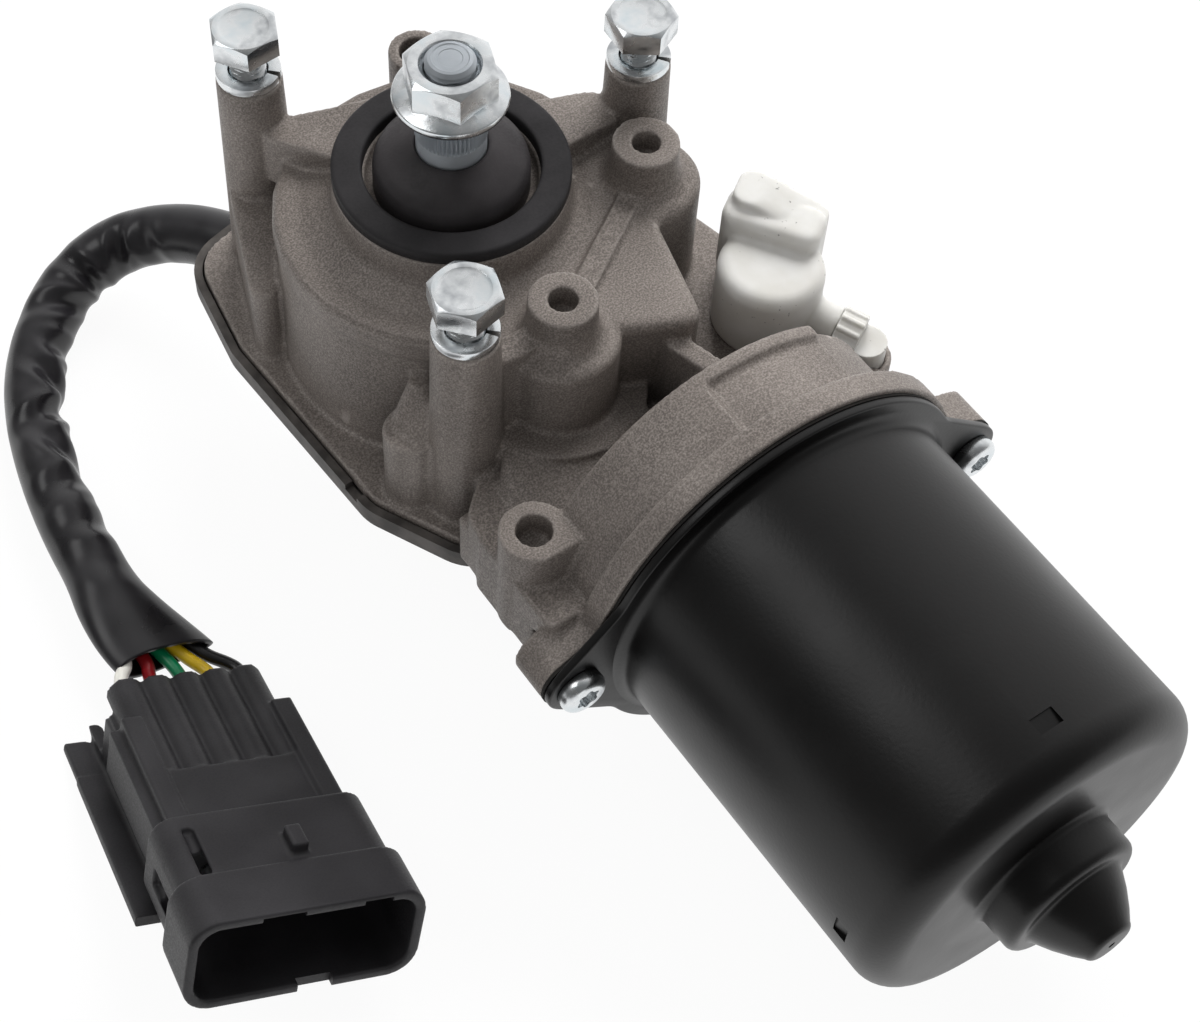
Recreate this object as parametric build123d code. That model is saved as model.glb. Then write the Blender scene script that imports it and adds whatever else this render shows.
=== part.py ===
from build123d import *
import os
from math import acos, atan2, cos, degrees, pi, radians, sin, sqrt, tan

# Front wiper motor: a die-cast gear housing with a deep-drawn motor can on its side, a rubber
# sealed output shaft, three bracket posts and a short sleeved harness with a five-way plug.
# All sizes are millimetres. Heights are measured from the top of the flat rubber ring and then
# shifted so that the origin lies on the output shaft, in the middle of the crank's seat.
# +Z runs up the output shaft. The motor lies along -Y.

# Output shaft, its seal and nut
crank_seat_height = 10.8
shaft_radius = 5.5
spline_radius = 5.7
spline_length = 6.9
thread_radius = 3.9
thread_length = 9.0
shaft_foot = -30.6
nut_flange_radius = 8.95
nut_flange_thickness = 1.4
nut_across_flats = 13.0
nut_height = 8.0
nut_thread_clearance = 0.08
ring_radius = 18.7
ring_bore_radius = 13.9
ring_thickness = 2.3
boot_radius = 12.3
boot_shoulder_radius = 11.4
boot_shoulder_height = 2.6
boot_top_height = 4.6
boot_wall = 1.5
seal_groove_depth = 4.2
rubber_gap = 0.1

# Gear housing casting
wall = 2.2
cover_plane = -41.0
dome_radius = 28.8
dome_top = -9.0
hub_radius = 18.9
chamber_ceiling = -21.0
deck_top = -28.4
platform_top = -8.6
flange_thickness = 2.6
post_circle_radius = 35.5
post_top = 2.5
post_top_radius = 5.25
post_foot_radius = 6.1
bolt_hole_depth = 22.0
guide_boss_radius = 5.7
guide_boss_height = 7.6
guide_hole_radius = 2.3
guide_hole_depth = 8.0
side_boss_x = -20.6
side_boss_y = -53.3
side_boss_radius = 5.4
side_boss_top = -18.6
side_hole_radius = 2.8
side_hole_depth = 8.0
shelf_top = -26.0
back_boss_x = 12.5
back_boss_y = 29.5
back_boss_radius = 4.8
back_boss_top = -7.5
back_boss_foot = -24.0
back_hole_radius = 3.0
back_hole_depth = 10.5

# Vent cap, its outlet and the ring cast for its plug
cap_x = 38.3
cap_y = -34.4
cap_radius = 8.8
cap_top = -14.5
cap_dome = 2.2
cap_wall = 2.6
vent_room_radius = 5.6
vent_hole_radius = 1.5
plug_ring_x = 47.0
plug_ring_y = -49.9
plug_ring_top = -28.0
plug_ring_radius = 4.6
plug_hole_radius = 3.5
plug_hole_depth = 8.0
knob_height = -24.4
knob_radius = 3.4
knob_length = 4.2
outlet_radius = 3.3
neck_rib_ends = ((15.0, -40.0, 1.7), (19.0, -54.0, 1.7))
neck_rib_top = -12.5

# Cover, its gasket and screws
cover_front = -43.7
sheet = 1.4
lip_gap = 0.35
lip_reach = 1.6
dish_depth = 12.0
dish_spots = ((-13.0, 18.0, 9.0), (-18.0, -14.0, 8.0), (22.0, -22.0, 11.0), (19.0, 8.0, 9.0))
cover_screw_radius = 1.6
cover_screw_depth = 7.5
cover_screw_head_radius = 3.0
cover_screw_spots = ((-21.0, 31.8), (post_circle_radius, 0.0), (-24.2, -24.6), (41.4, -22.5))

# Motor, its collar and its can
motor_x = 14.0
motor_height = -34.7
can_radius = 30.55
can_wall = 1.8
can_fillet = 5.5
collar_face = -69.5
collar_back = -52.5
collar_radius = 33.4
throat_start = -44.0
throat_radius = 16.0
lip_radius = 35.2
lip_length = 4.2
ear_thickness = 7.0
gasket_thickness = 0.5
can_flange_thickness = 1.5
can_flange_radius = 34.3
can_end = -133.0
nose_boss_radius = 11.7
nose_boss_length = 7.0
nose_cone_radius = 8.4
nose_tip_radius = 4.1
nose_tip = -148.0
nose_bush_radius = 7.0
nose_bush_end = -139.0
tail_pocket_radius = 3.3
thrust_ball_radius = 1.5
shaft_tail = -142.0
punch_station = -124.5
ear_reach = 38.7
ear_radius = 5.4
can_screw_radius = 2.4
can_screw_head_radius = 3.9
can_screw_head_height = 2.7
can_screw_reach = 8.0
screw_gap = 0.2

# Inside of the motor
core_radius = 22.0
core_front = -76.0
core_back = -116.0
magnet_air_gap = 0.7
magnet_length = 46.0
armature_slots = 12
commutator_radius = 10.5
commutator_inset = 13.0
commutator_length = 13.0
brush_room_depth = 15.0
brush_plate_inset = 11.5
brush_turns = (35.0, 155.0, 255.0)
brush_width = 5.0
brush_depth = 3.6
brush_length = 7.0
spring_radius = 1.6
spring_length = 7.4
magnet_half_angle = 36.87
clip_half_angle = 33.69
clip_thickness = 1.0
clip_length = 40.0

# Gear train
module = 1.0
output_teeth = 50
pinion_teeth = 12
wheel_teeth = 21
worm_starts = 2
worm_radius = 4.0
addendum = 0.75
dedendum = 1.1
pressure_angle = radians(20)
tooth_backlash = 0.3
worm_backlash = 0.5
worm_length = 13.0
output_gear_foot = -28.0
output_gear_face = 6.0
wheel_face = 6.0
pinion_length = 11.0
gear_chamber_gap = 0.9
pin_radius = 2.0
running_clearance = 0.04
armature_shaft_radius = 2.85
armature_end = 6.0
bush_wall = 1.5
park_disc_outer = 19.5
park_disc_inner = 9.0
park_disc_thickness = 0.6

# Fasteners
bolt_radius = 2.95
bolt_across_flats = 10.0
bolt_head_height = 4.0
bolt_head_foot = 8.8
bolt_shank_length = 21.0
bolt_hole_clearance = 0.1
washer_inner_radius = 3.15
washer_outer_radius = 5.15
washer_thickness = 1.6
washer_split = 0.8
bolt_turns = (25.0, 5.0, 12.0)
nut_turn = 8.0

# Harness: the sleeve's route in plan, with heights above the seal ring, laid along the photograph
sleeve_radius = 5.4
sleeve_route = [
    (-15.5, 36.9, -49.2),
    (-19.8, 46.7, -51.0),
    (-25.2, 55.5, -54.6),
    (-32.9, 61.7, -58.9),
    (-43.0, 61.3, -62.4),
    (-51.9, 55.5, -64.2),
    (-58.7, 47.0, -64.5),
    (-63.3, 37.2, -64.5),
    (-66.3, 26.7, -64.5),
    (-68.1, 15.9, -64.4),
    (-69.2, 5.1, -64.4),
    (-69.7, -5.8, -64.5),
]
sleeve_mouth = (-67.4, -15.8, -65.5)
mouth_half_width = 8.9
mouth_half_height = 3.4
sleeve_wall = 0.8
grommet_reach = 11.2
grommet_neck_radius = 4.2
grommet_ring_radius = 4.7
grommet_ring_start = 4.5
wire_radius = 1.15
wire_names = ("white", "red", "green", "yellow", "black")

# Five-way plug, drawn with its length along Y and its mouth at the far end
plug_yaw = -9.4
plug_pitch = 18.7
plug_roll = 18.5
plug_spot = (-67.5, -22.1, -64.9)
way_pitch = 5.0
way_radius = 2.95
way_length = 24.0
plug_length = 61.0
plug_body_half = 14.6
step_start = 36.5
shroud_start = 50.5
shroud_half = 18.2
shroud_foot = -11.0
shroud_top = 5.7
shroud_wall = 1.6
shroud_corner = 4.6
mouth_depth = 17.0
rail_drop = 12.0

# Sizes that follow from the ones above
post_angles = (0.0, 120.0, 240.0)
gear_spacing = module * (output_teeth + pinion_teeth) / 2
wheel_radius = module * wheel_teeth / 2
output_radius = module * output_teeth / 2
pinion_pitch_radius = module * pinion_teeth / 2
worm_spacing = worm_radius + wheel_radius
rear_gear_x = motor_x + worm_spacing
front_gear_x = motor_x - worm_spacing
rear_gear_y = -sqrt(gear_spacing**2 - rear_gear_x**2)
front_gear_y = -sqrt(gear_spacing**2 - front_gear_x**2)
gear_spots = ((front_gear_x, front_gear_y), (rear_gear_x, rear_gear_y))
worm_lead = pi * module * worm_starts
chamber_radius = output_radius + module * addendum + gear_chamber_gap
wheel_pocket_radius = wheel_radius + module * addendum + 0.6
pinion_pocket_radius = pinion_pitch_radius + module * addendum + 0.35
can_inner_radius = can_radius - can_wall
magnet_inner_radius = core_radius + magnet_air_gap
hub_bore_radius = shaft_radius + running_clearance + bush_wall
end_bush_outer = armature_shaft_radius + running_clearance + bush_wall
drive_bush_outer = armature_shaft_radius + running_clearance + 2.4 * bush_wall
wheel_pocket_top = motor_height + wheel_face / 2 + 0.8
pinion_top = motor_height + wheel_face / 2 + pinion_length
pinion_pocket_top = pinion_top + 0.7
pin_top = pinion_pocket_top + 7.0
cover_seat = cover_plane - gasket_thickness
outlet_height = deck_top + 6.4
outlet_end = 12.6
tunnel_radius = worm_radius + module * addendum + 0.5
nut_seat = crank_seat_height + spline_length / 2
ways = len(wire_names)
commutator_front = collar_face + commutator_inset
brush_room_back = collar_face + brush_room_depth
brush_plate_face = collar_face + brush_plate_inset
ear_spots = (motor_x - ear_reach, motor_x + ear_reach)
standing = (Align.CENTER, Align.CENTER, Align.MIN)


def up(height):
    return height - crank_seat_height


def disc(radius, foot, top, x=0.0, y=0.0):
    return Pos(x, y, up(foot)) * Cylinder(radius, top - foot, align=standing)


def barrel(radius, near, far, x=motor_x, height=motor_height):
    """A cylinder along the motor axis from near to far, both measured along Y."""
    middle = (near + far) / 2
    return Pos(x, middle, up(height)) * Rot(90, 0, 0) * Cylinder(radius, abs(near - far))


def post_spot(angle):
    return post_circle_radius * cos(radians(angle)), post_circle_radius * sin(radians(angle))


def hull_of(circles):
    """The stretched outline round a set of (x, y, radius) circles."""
    edges = []
    for x, y, radius in circles:
        edges += (Pos(x, y) * Circle(radius)).edges()
    return make_hull(edges)


def slab(outline, foot, top):
    return Pos(0, 0, up(foot)) * extrude(outline, top - foot)


def spun(points, radii, closing):
    """A solid of revolution about Z: a rounded outline through points, closed by straight lines."""
    line = FilletPolyline(*points, radius=radii)
    ends = Polyline(line @ 1, *closing, line @ 0)
    return revolve(Plane.XZ * make_face(line + ends), Axis.Z)


def along_motor(solid):
    """Turns a solid modelled round Z so that its +Z points along the motor, away from the gears."""
    return Pos(motor_x, 0, up(motor_height)) * Rot(90, 0, 0) * solid


def rim_outline(grow=0.0):
    """The outline of the casting's foot, which the cover's lip surrounds."""
    circles = [
        (-22.5, 28.5, 8.0),
        (-24.6, 14.0, 8.2),
        (-23.4, -22.0, 7.6),
        (-17.5, -33.0, 8.0),
        (0.0, 0.0, dome_radius + 0.4),
        (post_circle_radius, 0.0, post_foot_radius + 0.9),
        (*post_spot(120), post_foot_radius + 0.9),
        (rear_gear_x, rear_gear_y, wheel_pocket_radius + wall),
        (front_gear_x, front_gear_y, wheel_pocket_radius + wall),
        (cap_x, cap_y, cap_radius + 0.6),
    ]
    return hull_of([(x, y, radius + grow) for x, y, radius in circles])


def behind_collar():
    """Everything on the gear side of the collar, kept of the cover and its gasket."""
    reach = 200.0
    centred = (Align.CENTER, Align.MIN, Align.CENTER)
    return Pos(0, cover_front, up(cover_plane)) * Box(reach, reach, reach, align=centred)


def hub_and_dome():
    outline = [
        (hub_radius - 0.3, up(-ring_thickness)),
        (hub_radius + 0.2, up(dome_top + 1.4)),
        (hub_radius + 4.6, up(dome_top)),
        (dome_radius - 1.0, up(dome_top - 2.2)),
        (dome_radius, up(cover_plane)),
    ]
    return spun(outline, [1.4, 2.5, 3.4], [(0, up(cover_plane)), (0, up(-ring_thickness))])


def bracket_post(angle):
    x, y = post_spot(angle)
    length = post_top - cover_plane
    post = Pos(x, y, up(cover_plane)) * Cone(
        post_foot_radius, post_top_radius, length, align=standing
    )
    return post


def post_web(angle, top_near, top_far, thickness=4.0):
    """A radial rib that ties a post back to the dome."""
    outer = post_circle_radius
    inner = hub_radius
    face = make_face(
        Polyline(
            (inner, up(cover_plane)),
            (outer, up(cover_plane)),
            (outer, up(top_far)),
            (inner, up(top_near)),
            (inner, up(cover_plane)),
        )
    )
    web = extrude(Plane.XZ * face, thickness / 2, both=True)
    return Rot(0, 0, angle) * web


def guide_boss(x, y, foot):
    return Pos(x, y, up(foot)) * Cone(
        guide_boss_radius, guide_boss_radius - 0.3, guide_boss_height, align=standing
    )


def platform():
    """The raised roof over the two pinions, with a lobe round each."""
    lobe = pinion_pocket_radius + wall
    shape = hull_of([(front_gear_x, front_gear_y, lobe), (0, 0, hub_radius + 2), (6.5, -24.0, 6.0)])
    shape += hull_of([(rear_gear_x, rear_gear_y, lobe), (0, 0, hub_radius + 2), (26.0, -4.0, 6.0)])
    shape += hull_of([(17.2, -37.2, 3.2), (8.0, -24.0, 6.0), (20.0, -16.0, 6.0), (9.0, -33.5, 3.0)])
    block = slab(shape, cover_plane, platform_top)
    roof = block.faces().sort_by(Axis.Z)[-1]
    return fillet(roof.edges(), 1.6)


def wheel_deck():
    """The lower shelf over the worm wheels and under the vent cap."""
    big = wheel_pocket_radius + wall - 0.2
    shape = hull_of(
        [
            (front_gear_x, front_gear_y, big),
            (rear_gear_x, rear_gear_y, big),
            (cap_x, cap_y, cap_radius + 0.4),
            (0, 0, dome_radius - 6),
        ]
    )
    block = slab(shape, cover_plane, deck_top)
    roof = block.faces().sort_by(Axis.Z)[-1]
    return fillet(roof.edges(), 1.5)


def collar():
    """The round neck that carries the can, with its lip, screw ears and relieved flank."""
    neck = barrel(collar_radius, collar_back, collar_face)
    neck -= neck_relief(8.0, 30.0, collar_back - 2.5, collar_radius - 1.1)
    neck -= neck_relief(30.0, 60.0, collar_back + 1.0, can_inner_radius + wall)
    neck += Pos(motor_x, throat_start, up(motor_height)) * Rot(90, 0, 0) * Cone(
        throat_radius, collar_radius - 2.2, throat_start - collar_back, align=standing
    )
    neck += barrel(lip_radius, collar_face + lip_length, collar_face)
    neck += Pos(0, collar_face, 0) * Rot(90, 0, 0) * ear_plate(collar_radius - 2.0, -ear_thickness)
    return neck


def ear_plate(round_radius, depth):
    """Flat flange outline with two screw ears, extruded by depth, drawn in its own plane."""
    shape = Circle(round_radius)
    shape += hull_of([(-ear_reach, 0, ear_radius), (ear_reach, 0, ear_radius), (0, 0, round_radius * 0.62)])
    return Pos(motor_x, up(motor_height), 0) * extrude(shape, depth)


def neck_relief(left, right, back, radius):
    """A shallow band cut into the top of the neck between two X positions."""
    front = collar_face + lip_length
    band = barrel(collar_radius + 1.0, back, front) - barrel(radius, back, front)
    low = -27.0
    window = Box(right - left, back - front, 40.0, align=(Align.MIN, Align.MAX, Align.MIN))
    return band & Pos(left, back, up(low)) * window


def side_shelf():
    """Flat shelf beside the neck with its drilled boss and the boss's pointed web."""
    front = collar_face + lip_length
    back = throat_start
    block = Pos(side_boss_x - side_boss_radius + 0.4, back, up(cover_plane)) * Box(
        14.0, back - front, shelf_top - cover_plane, align=(Align.MIN, Align.MAX, Align.MIN)
    )
    block = fillet(block.edges().filter_by(Axis.Z).sort_by(Axis.X)[:2], 2.0)
    block += slab(
        hull_of([(side_boss_x + 0.4, throat_start, 5.0), (front_gear_x, front_gear_y, 8.0)]),
        cover_plane + lip_reach + 0.3,
        shelf_top,
    )
    web_end = (side_boss_x + 6.5, side_boss_y - 5.0, 0.6)
    boss = hull_of([(side_boss_x, side_boss_y, side_boss_radius), web_end])
    return block + slab(boss, cover_plane, side_boss_top)


def gear_housing():
    body = hub_and_dome()
    body += slab(rim_outline(), cover_plane, cover_plane + flange_thickness)
    body += wheel_deck()
    body += platform()
    for angle in post_angles:
        body += bracket_post(angle)
    body += post_web(120, -9.5, -13.0)
    body += post_web(0, -9.5, -13.0)
    front_x, front_y = post_spot(240)
    front_web = hull_of([(front_x, front_y, 2.2), (front_gear_x - 4, front_gear_y, 2.2)])
    body += slab(front_web, cover_plane, platform_top + 2.6)
    for x, y in gear_spots:
        body += guide_boss(x, y, platform_top)
    boss_rib = hull_of([(front_gear_x, front_gear_y, 1.2), (rear_gear_x, rear_gear_y, 1.2)])
    body += slab(boss_rib, dome_top - 2, platform_top + 0.8)
    body += disc(4.6, cover_plane, -23.0, -24.0, -25.0)
    body += disc(back_boss_radius, back_boss_foot, back_boss_top, back_boss_x, back_boss_y)
    body += disc(wheel_pocket_radius + wall, cover_plane, -22.5, front_gear_x, front_gear_y)
    body += side_shelf()
    body += collar()
    ring_root = (plug_ring_x - 8.0, plug_ring_y - 1.0, plug_ring_radius)
    ring_boss = hull_of([(plug_ring_x, plug_ring_y, plug_ring_radius), ring_root])
    body += slab(ring_boss, cover_plane, plug_ring_top)
    body += slab(hull_of(neck_rib_ends), motor_height, neck_rib_top)
    for cutter in housing_cutters():
        body -= cutter
    body += bearing_block()
    return body


def drilled(radius, depth, top, x, y):
    return disc(radius, top - depth, top, x, y)


def housing_cutters():
    """Everything that is cored, bored or drilled out of the casting."""
    cuts = [disc(chamber_radius, cover_plane, chamber_ceiling)]
    cuts.append(disc(hub_bore_radius, chamber_ceiling, -ring_thickness))
    cuts.append(disc(ring_bore_radius - 0.4, -seal_groove_depth, -ring_thickness))
    for x, y in gear_spots:
        cuts.append(disc(wheel_pocket_radius, cover_plane, wheel_pocket_top, x, y))
        cuts.append(disc(pinion_pocket_radius, wheel_pocket_top, pinion_pocket_top, x, y))
        cuts.append(disc(pin_radius, pinion_pocket_top, pin_top, x, y))
        boss_top = platform_top + guide_boss_height
        cuts.append(disc(guide_hole_radius, boss_top - guide_hole_depth, boss_top, x, y))
    cuts.append(barrel(tunnel_radius, throat_start, -1.0))
    cuts.append(
        Pos(motor_x, -1.0, up(cover_plane))
        * Box(
            2 * tunnel_radius,
            -1.0 - cover_front,
            motor_height - cover_plane,
            align=(Align.CENTER, Align.MAX, Align.MIN),
        )
    )
    cuts.append(disc(vent_room_radius, cover_plane, deck_top - wall, cap_x, cap_y + 2))
    cuts.append(disc(vent_hole_radius, deck_top - wall, deck_top, cap_x, cap_y + 2))
    cuts.append(barrel(can_inner_radius, collar_face, brush_room_back))
    cuts.append(barrel(drive_bush_outer, brush_room_back, throat_start))
    for angle in post_angles:
        x, y = post_spot(angle)
        cuts.append(disc(bolt_radius + bolt_hole_clearance, post_top - bolt_hole_depth, post_top, x, y))
    for x in ear_spots:
        cuts.append(barrel(can_screw_radius, collar_face + can_screw_reach + 1.0, collar_face, x=x))
    cuts.append(drilled(side_hole_radius, side_hole_depth, side_boss_top, side_boss_x, side_boss_y))
    cuts.append(drilled(back_hole_radius, back_hole_depth, back_boss_top, back_boss_x, back_boss_y))
    hole_foot = plug_ring_top - plug_hole_depth
    cuts.append(disc(plug_hole_radius, hole_foot, plug_ring_top + 8.0, plug_ring_x, plug_ring_y))
    for x, y in cover_screw_spots:
        cuts.append(disc(cover_screw_radius, cover_plane, cover_plane + cover_screw_depth, x, y))
    return cuts


def bearing_block():
    """Cast rib under the output gear that holds the bush at the worm shaft's end."""
    foot = cover_plane
    top = output_gear_foot - 1.3
    near = 0.5
    far = armature_end
    left = motor_x - 5.6
    right = chamber_radius
    block = Pos((left + right) / 2, (near + far) / 2, up(foot)) * Box(
        right - left, far - near, top - foot, align=standing
    )
    return block - barrel(end_bush_outer, near, far - 1.0)


def gear_cover():
    """Pressed cover with a raised lip round the casting's foot and a dish below."""
    outer = slab(rim_outline(lip_gap + sheet), cover_seat - sheet, cover_plane + lip_reach)
    inner = slab(rim_outline(lip_gap), cover_seat, cover_plane + lip_reach)
    cover = outer - inner
    cover += slab(dish_outline(0), cover_seat - dish_depth, cover_seat - sheet)
    cover -= slab(dish_outline(-sheet), cover_seat - dish_depth + sheet, cover_seat)
    cover &= behind_collar()
    for x, y in cover_screw_spots:
        cover -= disc(cover_screw_radius + 0.15, cover_seat - sheet, cover_seat, x, y)
    for x, y, turn in ((-33.0, -20.0, 0), (-22.3, -39.4, 55)):
        notch = Box(5.0, 3.2, lip_reach, align=standing)
        cover -= Pos(x, y, up(cover_plane) + 0.4) * Rot(0, 0, turn) * notch
    return cover - extrude(exit_plane(-8.0) * Circle(grommet_neck_radius), 16.0)


def dish_outline(grow):
    return hull_of([(x, y, radius + grow) for x, y, radius in dish_spots])


def exit_plane(offset):
    """A plane across the harness where it leaves the cover, offset along its first run."""
    first, second = [Vector(x, y, up(height)) for x, y, height in sleeve_route[:2]]
    heading = (second - first).normalized()
    return Plane(origin=first + heading * (offset - grommet_reach), z_dir=heading)


def cover_gasket():
    ring = slab(rim_outline(-0.2), cover_seat, cover_plane)
    ring -= slab(dish_outline(-sheet), cover_seat, cover_plane)
    ring &= behind_collar()
    for x, y in cover_screw_spots:
        ring -= disc(cover_screw_radius + 0.15, cover_seat, cover_plane, x, y)
    return ring


def cover_screws():
    group = []
    for x, y in cover_screw_spots:
        head_top = cover_seat - sheet
        screw = disc(cover_screw_head_radius, head_top - 1.6, head_top, x, y)
        screw += disc(cover_screw_radius - 0.1, head_top, cover_plane + cover_screw_depth - 1.0, x, y)
        group.append(screw)
    return Compound(children=group)


def output_shaft():
    spline_foot = crank_seat_height - spline_length / 2
    shaft = disc(shaft_radius, shaft_foot, spline_foot)
    shaft += disc(spline_radius, spline_foot, nut_seat)
    shaft += disc(thread_radius, nut_seat, nut_seat + thread_length)
    top = shaft.faces().sort_by(Axis.Z)[-1]
    return chamfer(top.edges(), 0.6)


def involute_half_angle(radius, pitch_radius, teeth, thinning):
    """Half the angle that one tooth covers at a radius."""
    base = pitch_radius * cos(pressure_angle)
    at_radius = acos(min(1.0, base / radius))
    spread = tan(pressure_angle) - pressure_angle - (tan(at_radius) - at_radius)
    return pi / (2 * teeth) + spread - thinning / (2 * pitch_radius)


def gear_outline(teeth, turn, thinning, mid_points):
    """A toothed outline whose first tooth points along turn, in degrees."""
    pitch_radius = module * teeth / 2
    root = pitch_radius - module * dedendum
    tip = pitch_radius + module * addendum
    radii = [root] + [pitch_radius + step * module for step in mid_points] + [tip]
    points = []
    for tooth in range(teeth):
        middle = radians(turn) + 2 * pi * tooth / teeth
        for side, ordered in ((-1, radii), (1, radii[::-1])):
            for radius in ordered:
                angle = middle + side * involute_half_angle(radius, pitch_radius, teeth, thinning)
                points.append((radius * cos(angle), radius * sin(angle)))
    points.append(points[0])
    return make_face(Polyline(*points))


def output_gear():
    foot = output_gear_foot
    top = foot + output_gear_face
    gear = slab(gear_outline(output_teeth, 0, tooth_backlash / 2, (0.0,)), foot, top)
    web_room = disc(output_radius - 3.4, top - 1.6, top) - disc(shaft_radius + 3.6, top - 1.6, top)
    gear -= web_room
    gear -= disc(shaft_radius, foot, top)
    gear -= disc(park_disc_outer, foot, foot + park_disc_thickness)
    return gear


def park_disc():
    ring = disc(park_disc_outer, output_gear_foot, output_gear_foot + park_disc_thickness)
    ring -= disc(park_disc_inner, output_gear_foot, output_gear_foot + park_disc_thickness)
    gap = Rot(0, 0, 200) * Pos(0, 0, up(output_gear_foot)) * Box(
        park_disc_outer - 3.0, 9.0, park_disc_thickness, align=(Align.MIN, Align.CENTER, Align.MIN)
    )
    keep = disc(park_disc_outer - 6.0, output_gear_foot, output_gear_foot + park_disc_thickness)
    return ring - (gap - keep)


def park_contacts():
    """Three sprung fingers on a small carrier in the cover that wipe the park disc."""
    carrier_foot = cover_seat - dish_depth + 1.4
    carrier = Pos(-13.0, 2.0, up(carrier_foot)) * Box(8.0, 17.0, 4.0, align=standing)
    tip = output_gear_foot - 0.25
    for row in range(3):
        y = -4.0 + 6.0 * row
        leg = Pos(-16.0, y, up(carrier_foot + 4.0)) * Box(
            0.6, 3.0, tip - carrier_foot - 4.0, align=standing
        )
        arm = Pos(-16.3, y, up(tip - 0.6)) * Box(4.6, 3.0, 0.6, align=(Align.MIN, Align.CENTER, Align.MIN))
        carrier += leg + arm
    return carrier


def worm_thread(x, y, hand):
    """Threaded cylinder for one worm wheel: a two-start outline twisted along the shaft."""
    start = y - worm_length / 2
    contact = 180.0 if hand > 0 else 0.0
    first = contact - hand * (worm_length / 2) * 360 / worm_lead
    root = worm_radius - module * dedendum
    tip = worm_radius + module * addendum
    lines = []
    ends = []
    for thread in range(worm_starts):
        middle = radians(first + 360 * thread / worm_starts)
        at_root = thread_half_angle(root)
        at_tip = thread_half_angle(tip)
        corners = [polar(root, middle - at_root), polar(tip, middle - at_tip)]
        corners += [polar(tip, middle + at_tip), polar(root, middle + at_root)]
        lines.append(Line(corners[0], corners[1]))
        lines.append(ThreePointArc(corners[1], polar(tip, middle), corners[2]))
        lines.append(Line(corners[2], corners[3]))
        ends.append((corners[0], corners[3], middle))
    for thread in range(worm_starts):
        middle = ends[thread][2] + pi / worm_starts
        following = ends[(thread + 1) % worm_starts]
        lines.append(ThreePointArc(ends[thread][1], polar(root, middle), following[0]))
    outline = make_face(lines)
    turn = hand * worm_length * 360 / worm_lead
    twisted = Solid.extrude_linear_with_rotation(outline.face(), (0, 0, 0), (0, 0, worm_length), turn)
    return Pos(motor_x, start, up(motor_height)) * Rot(-90, 0, 0) * twisted


def polar(radius, angle):
    return radius * cos(angle), radius * sin(angle)


def thread_half_angle(radius):
    width = pi * module / 4 - (radius - worm_radius) * tan(pressure_angle) - worm_backlash / 2
    return 2 * pi * width / worm_lead


def armature_shaft():
    shaft = barrel(armature_shaft_radius, armature_end - 1.0, shaft_tail)
    shaft += worm_thread(front_gear_x, front_gear_y, 1)
    shaft += worm_thread(rear_gear_x, rear_gear_y, -1)
    return shaft


def intermediate_gear(x, y, worm_side):
    """Moulded worm wheel with its pinion on top; worm_side is +1 where the worm lies at +X."""
    foot = motor_height - wheel_face / 2
    contact = 0.0 if worm_side > 0 else 180.0
    lead_tangent = worm_lead / (2 * pi * worm_radius)
    shift = degrees(wheel_face * lead_tangent / wheel_radius) * worm_side
    first = contact + 180 / wheel_teeth - shift / 2
    outline = gear_outline(wheel_teeth, first, worm_backlash / 2, ())
    wheel = Solid.extrude_linear_with_rotation(outline.face(), (0, 0, 0), (0, 0, wheel_face), shift)
    wheel = Pos(0, 0, up(foot)) * wheel
    toward = degrees(atan2(y, x))
    first_pinion = toward + 180 + toward * output_teeth / pinion_teeth + 180 / pinion_teeth
    pinion_face = gear_outline(pinion_teeth, first_pinion, tooth_backlash / 2, (-0.3, 0.2))
    pinion = slab(pinion_face, foot + wheel_face, pinion_top)
    gear = wheel + pinion
    gear -= disc(pin_radius + running_clearance, foot, pinion_top)
    return Pos(x, y, 0) * gear


def gear_pins():
    foot = cover_seat
    return Compound(children=[disc(pin_radius, foot + 0.6, pin_top, x, y) for x, y in gear_spots])


def pin_circlips():
    """Retaining washers under the two intermediate gears."""
    top = motor_height - wheel_face / 2 - 0.15
    group = []
    for x, y in gear_spots:
        group.append(disc(4.0, top - 0.8, top, x, y) - disc(pin_radius, top - 0.8, top, x, y))
    return Compound(children=group)


def output_bushes():
    outer = hub_bore_radius
    inner = shaft_radius + running_clearance
    group = []
    for foot, top in ((chamber_ceiling, chamber_ceiling + 7.0), (-11.0, -seal_groove_depth)):
        group.append(disc(outer, foot, top) - disc(inner, foot, top))
    return Compound(children=group)


def thrust_washer():
    top = chamber_ceiling
    foot = output_gear_foot + output_gear_face
    gap = 0.1
    return disc(8.6, foot + gap, top) - disc(shaft_radius + 0.3, foot + gap, top)


def gear_retainer():
    """Clip under the output gear that holds it on the shaft."""
    top = output_gear_foot
    return disc(7.8, top - 1.0, top) - disc(shaft_radius, top - 1.0, top)


def hub_ring_seal():
    ring = disc(ring_radius, -ring_thickness, 0) - disc(ring_bore_radius, -ring_thickness, 0)
    rim = ring.edges().filter_by(GeomType.CIRCLE).group_by(Axis.Z)[-1]
    return chamfer(rim, 0.35)


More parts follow.
